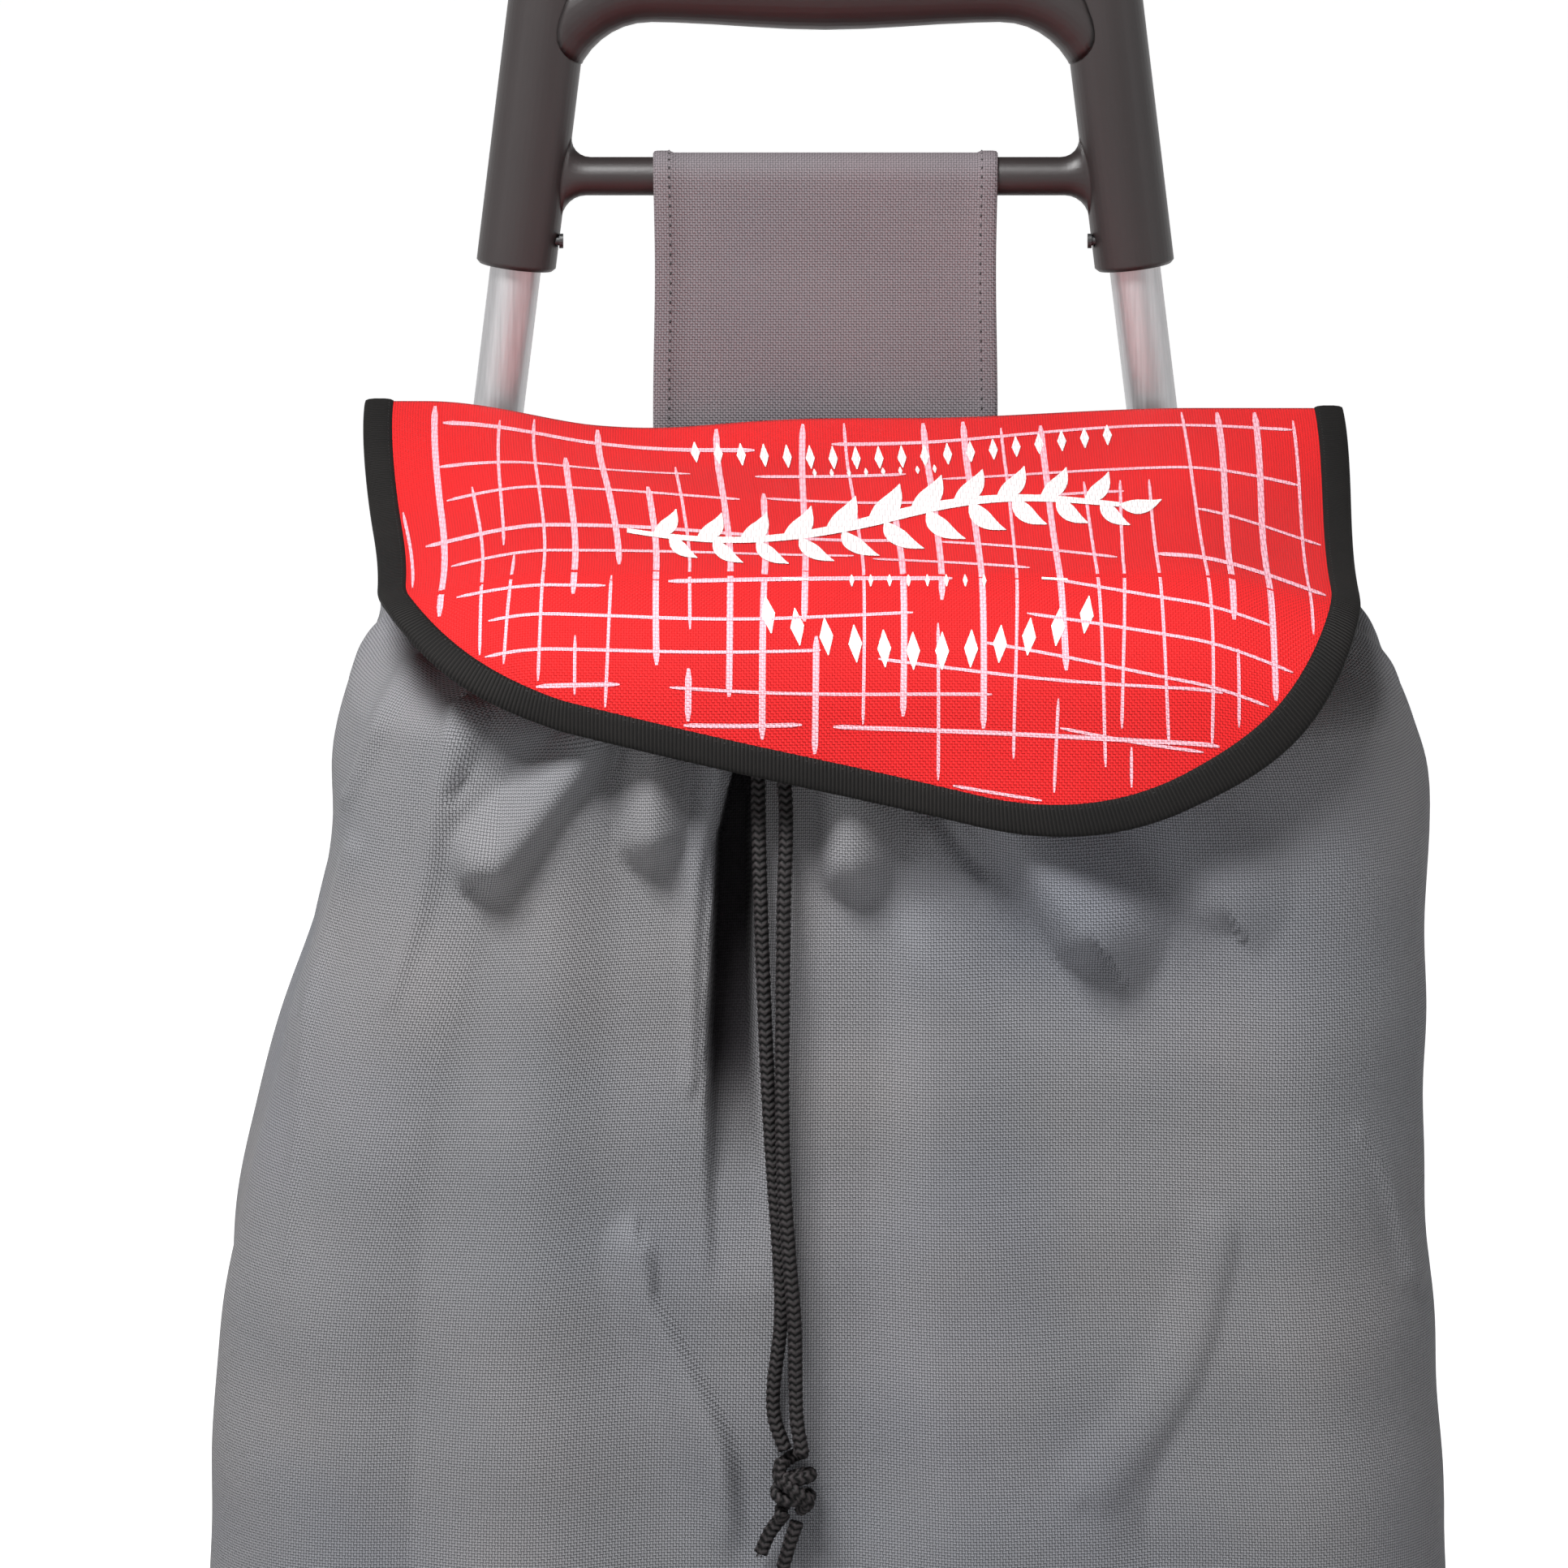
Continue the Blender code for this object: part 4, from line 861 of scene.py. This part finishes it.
def flap_normal(across, run):
    step = 0.0006
    along_width = flap_point(across + step, run) - flap_point(across - step, run)
    along_run = flap_point(across, run + step) - flap_point(across, run - step)
    normal = along_run.cross(along_width).normalized()
    return normal if normal.z > -0.2 else -normal


def on_flap(across, run, rise):
    return flap_point(across, run) + flap_normal(across, run) * rise


def flap_bottom(across, inset):
    """How long it would be with square corners: its bottom edge slants."""
    return FLAP_LENGTH + FLAP_SKEW * across - inset


def flap_reach(across, inset):
    """How long the flap is here, with its rounded corners."""
    half = FLAP_HALF_WIDTH - inset
    radius = FLAP_CORNERS[-1 if across < 0 else 1] - inset
    into_corner = min(max(abs(across) - (half - radius), 0), radius)
    return flap_bottom(across, inset) - radius + sqrt(radius ** 2 - into_corner ** 2)


def flap_cover(made):
    inset = BINDING_WIDTH * 0.45
    half = FLAP_HALF_WIDTH - inset
    columns = [half * sin(angle) for angle in spread(-pi / 2, pi / 2, 111)]
    points, places = [], []
    for share in spread(0, 1, 101):
        spots = [(across, between(FLAP_START, flap_reach(across, inset), share)) for across in columns]
        points.append([flap_point(*spot) for spot in spots])
        places.append(spots)
    return grid("flap_cover", points, places, made, thickness=FLAP_CLOTH)


def flap_edge(inset):
    """(across, run) points round the free edge at this inset, from the left hinge end to the right one."""
    half = FLAP_HALF_WIDTH - inset
    halves = []
    for side in (-1, 1):
        radius = FLAP_CORNERS[side] - inset
        corner = []
        for angle in spread(0, pi / 2, 40):
            across = side * (half - radius + radius * cos(angle))
            corner.append((across, flap_bottom(across, inset) - radius + radius * sin(angle)))
        straight = [(side * half, between(FLAP_START, corner[0][1], share)) for share in spread(0, 0.99, 90)]
        across = [side * (half - radius) * share for share in spread(0.98, 0.02, 48)]
        halves.append(straight + corner + [(x, flap_bottom(x, inset)) for x in across])
    return halves[0] + halves[1][::-1]


def rounded_sign(value, power):
    """Squares off a sine or a cosine."""
    return copysign(abs(value) ** power, value)


def flap_binding(made):
    """Tape folded over the edge: a flat oval section swept round the flap."""
    edges = list(zip(flap_edge(0), flap_edge(BINDING_WIDTH)))
    middles = [((start[0] + end[0]) / 2, (start[1] + end[1]) / 2) for start, end in edges]
    travelled = distances([flap_point(*middle) for middle in middles])
    rings = []
    for (start, end), middle, along in zip(edges, middles, travelled):
        normal = flap_normal(*middle)
        ring = []
        for turn in range(TAPE_SIDES):
            angle = 2 * pi * turn / TAPE_SIDES
            share = 0.5 - 0.5 * rounded_sign(cos(angle), 0.7)
            rise = BINDING_THICKNESS / 2 * rounded_sign(sin(angle), 0.6)
            spot = flap_point(between(start[0], end[0], share), between(start[1], end[1], share))
            ring.append((spot + normal * rise, (along, share * BINDING_WIDTH)))
        rings.append(ring)
    return swept("flap_binding_tape", rings, made)


def seen_drop(run):
    """How far below the hinge a run shows in the camera's view."""
    y, z = flap_profile(run)
    return (HINGE_Z - z) * cos(VIEW_ELEVATION) + (HINGE_Y - y) * sin(VIEW_ELEVATION)


RUNS = spread(0, FLAP_LENGTH + 0.05, 120)
SEEN_DROPS = [seen_drop(run) for run in RUNS]


def run_of(drop):
    """The run that shows this far below the hinge, which makes the print look square on the slope."""
    return float(np.interp(drop, SEEN_DROPS, RUNS))


def ribbon(body, route, widths, rise):
    """A strip of ink along a route of (across, drop) points, with its own width at each."""
    route = [Vector(point) for point in route]
    rows = []
    for index, (point, width) in enumerate(zip(route, widths)):
        beside = ahead_at(route, index).orthogonal() * width / 2
        ends = (point + beside, point - beside)
        rows.append([body.verts.new(on_flap(across, run_of(drop), rise)) for across, drop in ends])
    for first, second in zip(rows, rows[1:]):
        body.faces.new((first[0], first[1], second[1], second[0]))


def finish_small(name, body, made):
    mesh = bpy.data.meshes.new(name)
    body.normal_update()
    body.to_mesh(mesh)
    body.free()
    store_weave(mesh, [(vertex.co.x, vertex.co.z) for vertex in mesh.vertices])
    mesh.shade_smooth()
    return place(name, mesh, made)


def wavy(start, end, chance):
    """A hand-drawn line from start to end, with a slow wobble."""
    start, end = Vector(start), Vector(end)
    length = (end - start).length
    side = (end - start).orthogonal().normalized()
    phase = chance.uniform(0, 6)
    wobble = chance.uniform(0.0003, 0.0011)
    route = []
    for share in spread(0, 1, max(int(length / 0.003), 3)):
        route.append(tuple(start.lerp(end, share) + side * wobble * sin(phase + share * length * 38)))
    return route


def print_line(body, start, end, width, rise, chance):
    """A line of ink with narrow ends, left out where hardly any of it is inside the binding."""
    inset = BINDING_WIDTH + 0.0008
    route = []
    for across, drop in wavy(start, end, chance):
        on_cloth = abs(across) < FLAP_HALF_WIDTH - inset and drop > 0.002
        if on_cloth and run_of(drop) < flap_reach(across, inset):
            route.append((across, drop))
    if len(route) > 4:
        narrow = width * 0.45
        ribbon(body, route, [narrow, *[width] * (len(route) - 2), narrow], rise)


def flap_print(made):
    """Loose hand-drawn lines both ways across the cloth, some bold and most fine, none from edge to edge."""
    chance = random.Random(11)
    body = bmesh.new()
    side, bottom = 0.161, 0.152
    across = -side
    while across < side:
        drop = chance.choice((0.0, 0.0, 0.006, 0.018, 0.030))
        while drop < bottom:
            end = drop + chance.uniform(0.045, 0.125)
            width = BOLD_LINE if chance.random() < 0.48 else FINE_LINE
            lean = chance.uniform(-0.004, 0.004)
            print_line(body, (across, drop), (across + lean, end), width, DOWN_LINES_RISE, chance)
            drop = end + chance.uniform(0.003, 0.016)
        across += chance.uniform(0.0105, 0.0155)
    level = 0.009
    while level < bottom:
        across = -side + chance.uniform(0, 0.03)
        while across < side:
            end = across + chance.uniform(0.050, 0.170)
            slant = 0.13 * ease(level, 0, 0.07) * ease(across, -0.05, 0.04)
            start_drop = level + slant * (across + 0.03)
            end_drop = level + slant * (end + 0.03) + chance.uniform(-0.002, 0.003)
            width = 0.0014 if chance.random() < 0.35 else 0.0010
            print_line(body, (across, start_drop), (end, end_drop), width, CROSS_LINES_RISE, chance)
            across = end + chance.uniform(0.004, 0.028)
        level += chance.uniform(0.0095, 0.0140)
    return finish_small("flap_print_lines", body, made)


def leaf(body, foot, angle, length, width, rise):
    """An almond-shaped leaf from its foot, turned from the across direction by the angle."""
    route, widths = [], []
    for share in spread(0, 1, 12):
        out = length * share
        side = 0.12 * length * sin(pi * share)
        route.append((
            foot[0] + out * cos(angle) - side * sin(angle),
            foot[1] + out * sin(angle) + side * cos(angle),
        ))
        widths.append(max(width * sin(pi * share ** 0.8), 0.0003))
    ribbon(body, route, widths, rise)


def lozenge_row(body, middle, half, drop, sag, count, tall, rise):
    """Small upright lozenges side by side, on a line that sags by so much in its middle."""
    for share in spread(-1, 1, count):
        across = middle + half * share
        centre = drop + sag * (1 - share * share)
        lean = 15 * sag * tall * share
        lozenge = [(across - lean * end, centre + tall * end) for end in (-0.5, 0, 0.5)]
        ribbon(body, lozenge, [0.0003, tall * 0.40, 0.0003], rise)


def flap_ornament(made):
    """A plain leafy sprig, with rows of small lozenges above and below it."""
    body = bmesh.new()
    start, end, middle = -0.084, 0.090, 0.043
    shares = spread(0, 1, 58)
    stem = []
    for share in shares:
        wave = 0.0055 * sin(2 * pi * share + 0.3) - 0.009 * share + 0.004
        stem.append((between(start, end, share), middle + wave))
    ribbon(body, stem, [between(0.0042, 0.0018, abs(2 * share - 1)) for share in shares], ORNAMENT_RISE)
    for index in range(3, len(stem) - 2, 5):
        across, drop = stem[index]
        size = between(0.0200, 0.0135, abs(2 * index / len(stem) - 1))
        leaf(body, (across, drop), radians(-50), size, size * 0.40, ORNAMENT_RISE)
        leaf(body, (across + 0.006, drop), radians(46), size * 0.92, size * 0.38, ORNAMENT_RISE)
    leaf(body, stem[-1], radians(-6), 0.015, 0.0055, ORNAMENT_RISE)
    # middle, half the length, drop, sag, count, height of a lozenge
    for row in (
        (0.016, 0.072, 0.0115, 0.003, 19, 0.0080),
        (0.006, 0.021, 0.0200, 0.000, 8, 0.0038),
        (0.017, 0.023, 0.0680, 0.000, 8, 0.0042),
        (0.020, 0.055, 0.0790, 0.012, 12, 0.0120),
    ):
        lozenge_row(body, *row, ORNAMENT_RISE)
    for across in (-0.030, 0.060):
        dash = [(across, 0.0672), (across + 0.004, 0.0674), (across + 0.009, 0.0676)]
        ribbon(body, dash, [0.0008] * len(dash), ORNAMENT_RISE)
    return finish_small("flap_ornament", body, made)


def stitches(name, route, normals, made, pitch=0.0030, length=0.0021, radius=0.00030):
    """A sewn line: one small spindle of thread for each stitch, half sunk in the cloth."""
    body = bmesh.new()
    ends = distances(route)
    middles = (np.arange(int(ends[-1] / pitch)) + 0.5) * pitch
    spots = [vectors_at(middles + shift, ends, route) for shift in (-length / 2, 0, length / 2)]
    for start, centre, stop, normal in zip(*spots, vectors_at(middles, ends, normals)):
        up = normal.normalized() * radius
        side = (stop - start).cross(up).normalized() * radius
        ring = [body.verts.new(centre + shift) for shift in (side, up, -side, -up)]
        tips = [body.verts.new(start - up * 0.5), body.verts.new(stop - up * 0.5)]
        for first, second in zip(ring, ring[1:] + ring[:1]):
            body.faces.new((first, second, tips[0]))
            body.faces.new((second, first, tips[1]))
    return finish_small(name, body, made)


def flap():
    cover = flap_cover(woven("printed_cloth", (0.44, 0.004, 0.005), (0.74, 0.011, 0.013), 0.00092, 0.70))
    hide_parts("flap_panel")
    bound = flap_binding(ribbed_tape("grosgrain", (0.0042, 0.0038, 0.0036), 0.0013))
    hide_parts("flap_binding")
    lines = flap_print(woven("pink_ink", (0.74, 0.30, 0.35), (0.92, 0.46, 0.52), 0.00092, 0.6))
    ornament = flap_ornament(woven("white_ink", (0.70, 0.62, 0.61), (0.90, 0.84, 0.82), 0.00092, 0.6))
    sewn = flap_edge(BINDING_WIDTH * 0.84)
    seam = stitches(
        "flap_binding_stitches",
        [on_flap(*spot, BINDING_THICKNESS / 2 * 0.86) for spot in sewn],
        [flap_normal(*spot) for spot in sewn],
        moulded_plastic("black_thread", (0.012, 0.012, 0.012), 0.6),
    )
    for piece in (cover, bound, lines, ornament, seam):
        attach(piece, "flap")


# Hanging strap

def strap_line():
    """Down the strap's middle, from its sewn front end over the crossbar to its rear end."""
    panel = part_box("bag_back_panel")[1][1] + 0.0013
    line = [(panel, 0.706), (panel, 0.742), (CROSSBAR_Y - STRAP_TURN, CROSSBAR_Z - 0.030)]
    for angle in spread(pi, 0, 22):
        line.append((CROSSBAR_Y + STRAP_TURN * cos(angle), CROSSBAR_Z + STRAP_TURN * sin(angle)))
    line += [(CROSSBAR_Y + STRAP_TURN, CROSSBAR_Z - 0.030), (panel + 0.002, 0.745), (panel + 0.002, 0.712)]
    return resampled([Vector((0, y, z)) for y, z in line], 0.0025)


def strap_normal(line, index):
    ahead = ahead_at(line, index)
    return Vector((0, -ahead.z, ahead.y))


def strap_surface(line):
    """Points of both faces, thicker in the hems, their places on the cloth, and the x of the columns."""
    inner_edge = STRAP_HALF_WIDTH - HEM_WIDTH
    half = spread(0, inner_edge, 9)
    half += [inner_edge + shift for shift in (0.0005, 0.0016, 0.0035, 0.0055, 0.0067)]
    half.append(STRAP_HALF_WIDTH)
    across = [-x for x in reversed(half[1:])] + half
    points, places = [], []
    for index, (point, travelled) in enumerate(zip(line, distances(line))):
        normal = strap_normal(line, index)
        outer, inner = [], []
        for x in across:
            in_hem = ease(abs(x), inner_edge, inner_edge + 0.0012)
            edge = ease(abs(x), STRAP_HALF_WIDTH, STRAP_HALF_WIDTH - 0.0007)
            thick = (STRAP_CLOTH / 2 + HEM_RISE * in_hem) * between(0.35, 1, edge)
            sway = 0.0006 * sin(x * 70 + point.z * 55) * ease(abs(point.z - CROSSBAR_Z), 0, 0.05)
            slack = Vector((x * (1 + 0.006 * sin(point.z * 60)), sway, 0))
            outer.append(point + slack + normal * thick)
            inner.append(point + slack - normal * min(thick, STRAP_CLOTH / 2))
        points.append(outer + inner[::-1])
        places.append([(x, travelled) for x in across] + [(x, travelled + 1) for x in reversed(across)])
    return points, places, across


def strap():
    dark, light = (0.085, 0.076, 0.082), (0.195, 0.172, 0.180)
    made = woven("strap_cloth", dark, light, 0.00092, 0.74, tint=(1.05, 0.94, 0.97))
    thread = moulded_plastic("grey_thread", (0.045, 0.042, 0.044), 0.7)
    line = strap_line()
    points, places, across = strap_surface(line)
    loop = grid("strap_loop", points, places, made, closed_rows=True)
    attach(loop, "frame")
    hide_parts("hanging_strap")
    normals = [strap_normal(line, index) for index in range(len(line))]
    for side, name in ((-1, "strap_stitches_left"), (1, "strap_stitches_right")):
        sewn = side * (STRAP_HALF_WIDTH - 0.0055)
        column = min(range(len(across)), key=lambda index: abs(across[index] - sewn))
        route = [row[column] for row in points]
        seam = stitches(name, route, normals, thread, pitch=0.0034, length=0.0023, radius=0.00038)
        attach(seam, "frame")


# Finishes of the parts that come from the frame

def refinish(made, *names):
    for name in names:
        for slot in bpy.data.objects[name].material_slots:
            slot.link = "OBJECT"
            slot.material = made


def both(name):
    return "left_" + name, "right_" + name


def frame_finishes():
    handle = moulded_plastic("handle_plastic_finish", (0.0175, 0.0135, 0.0135), 0.44)
    refinish(handle, "handle_yoke", "handle_grip")
    refinish(drawn_metal("satin_tube", (0.58, 0.575, 0.585), 0.48, (900, 900, 14)), *both("upright_tube"))
    steel = painted_metal("black_powder_coat", (0.020, 0.020, 0.021))
    refinish(steel, "upper_cross_bar", "lower_cross_bar", "base_loop", "base_rod_front", "base_rod_rear")
    refinish(steel, "front_stand", *both("handle_screw"))
    zinc = drawn_metal("zinc_plate", (0.56, 0.56, 0.55), 0.34, (20, 900, 900))
    refinish(zinc, "axle", *both("inner_washer"), *both("outer_washer"))
    black = moulded_plastic("black_moulding", (0.022, 0.022, 0.024), 0.45)
    refinish(black, *both("axle_bracket"), *both("axle_cap"))
    refinish(moulded_plastic("wheel_moulding", (0.13, 0.13, 0.14), 0.45), *both("wheel_rim"))
    refinish(moulded_plastic("white_nylon", (0.70, 0.69, 0.65), 0.38), *both("wheel_bush"))
    refinish(tyre_rubber(), *both("tyre"))
    foot = moulded_plastic("foot_rubber", (0.02, 0.02, 0.02), 0.78, grain=500.0, depth=0.0003)
    refinish(foot, *both("foot"))
    refinish(object_weave("tab_webbing", (0.012, 0.012, 0.013), 0.0016), *both("tube_tab"))
    refinish(object_weave("floor_cloth", (0.10, 0.102, 0.106), 0.0013), "bag_floor_panel")
    board = moulded_plastic("board_finish", (0.05, 0.05, 0.05), 0.6, grain=300.0, depth=0.0003)
    refinish(board, "bag_floor_board")


# Studio

def floor():
    """A pale floor. All round, some way off, it glows as a lit sweep of paper does."""
    made = material("paper_sweep", (0.74, 0.74, 0.74), 0.9)
    x, y = split(made, object_point(made))[:2]
    ahead = maths(made, "ADD", y, GLOW_AHEAD)
    square = maths(made, "MULTIPLY_ADD", x, x, maths(made, "MULTIPLY", ahead, ahead))
    away = maths(made, "SQRT", square)
    glow = weighted(made, away, GLOW_RISE, -GLOW_RADIUS * GLOW_RISE)
    finish(made, "Emission Color", (1, 1, 1, 1))
    finish(made, "Emission Strength", maths(made, "MINIMUM", maths(made, "MAXIMUM", glow, 0.0), GLOW_MOST))
    corners = [(-1, -1), (1, -1), (1, 1), (-1, 1)]
    mesh = bpy.data.meshes.new("floor")
    mesh.from_pydata([(FLOOR_REACH * x, FLOOR_REACH * y, 0) for x, y in corners], [], [(0, 1, 2, 3)])
    place("floor", mesh, made)


def softbox(name, where, target, size, power):
    light = bpy.data.lights.new(name, "AREA")
    light.shape = "RECTANGLE"
    light.size, light.size_y = size
    light.energy = power
    lamp = linked(name, light)
    lamp.location = where
    lamp.rotation_euler = (Vector(target) - Vector(where)).to_track_quat("-Z", "Y").to_euler()


def studio():
    floor()
    softbox("left_softbox", (-1.9, -1.0, 1.35), (0, 0, 0.60), (0.8, 1.6), 4)
    softbox("right_softbox", (1.9, -0.9, 1.35), (0, 0, 0.60), (0.8, 1.6), 3)
    softbox("front_softbox", (-0.50, -1.05, 2.15), (0, -0.15, 0.60), (0.7, 0.5), 62)
    world = bpy.data.worlds.new("studio")
    world.use_nodes = True
    height = split(world, add(world, "TexCoord").outputs["Generated"])[2]
    sky = ramp(world, height, (0.10, (0.92, 0.92, 0.92)), (0.26, (0.035, 0.035, 0.035)))
    plug(world, sky, world.node_tree.nodes["Background"].inputs["Color"])
    bpy.context.scene.world = world
    bpy.context.scene.view_settings.view_transform = "Standard"


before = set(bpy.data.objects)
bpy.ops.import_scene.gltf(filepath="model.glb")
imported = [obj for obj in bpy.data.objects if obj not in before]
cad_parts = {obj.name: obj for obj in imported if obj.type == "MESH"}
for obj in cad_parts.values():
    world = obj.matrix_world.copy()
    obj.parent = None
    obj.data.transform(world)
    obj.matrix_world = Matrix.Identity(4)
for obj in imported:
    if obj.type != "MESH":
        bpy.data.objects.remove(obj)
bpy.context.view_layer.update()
camera()
cords()
bag()
flap()
strap()
frame_finishes()
studio()
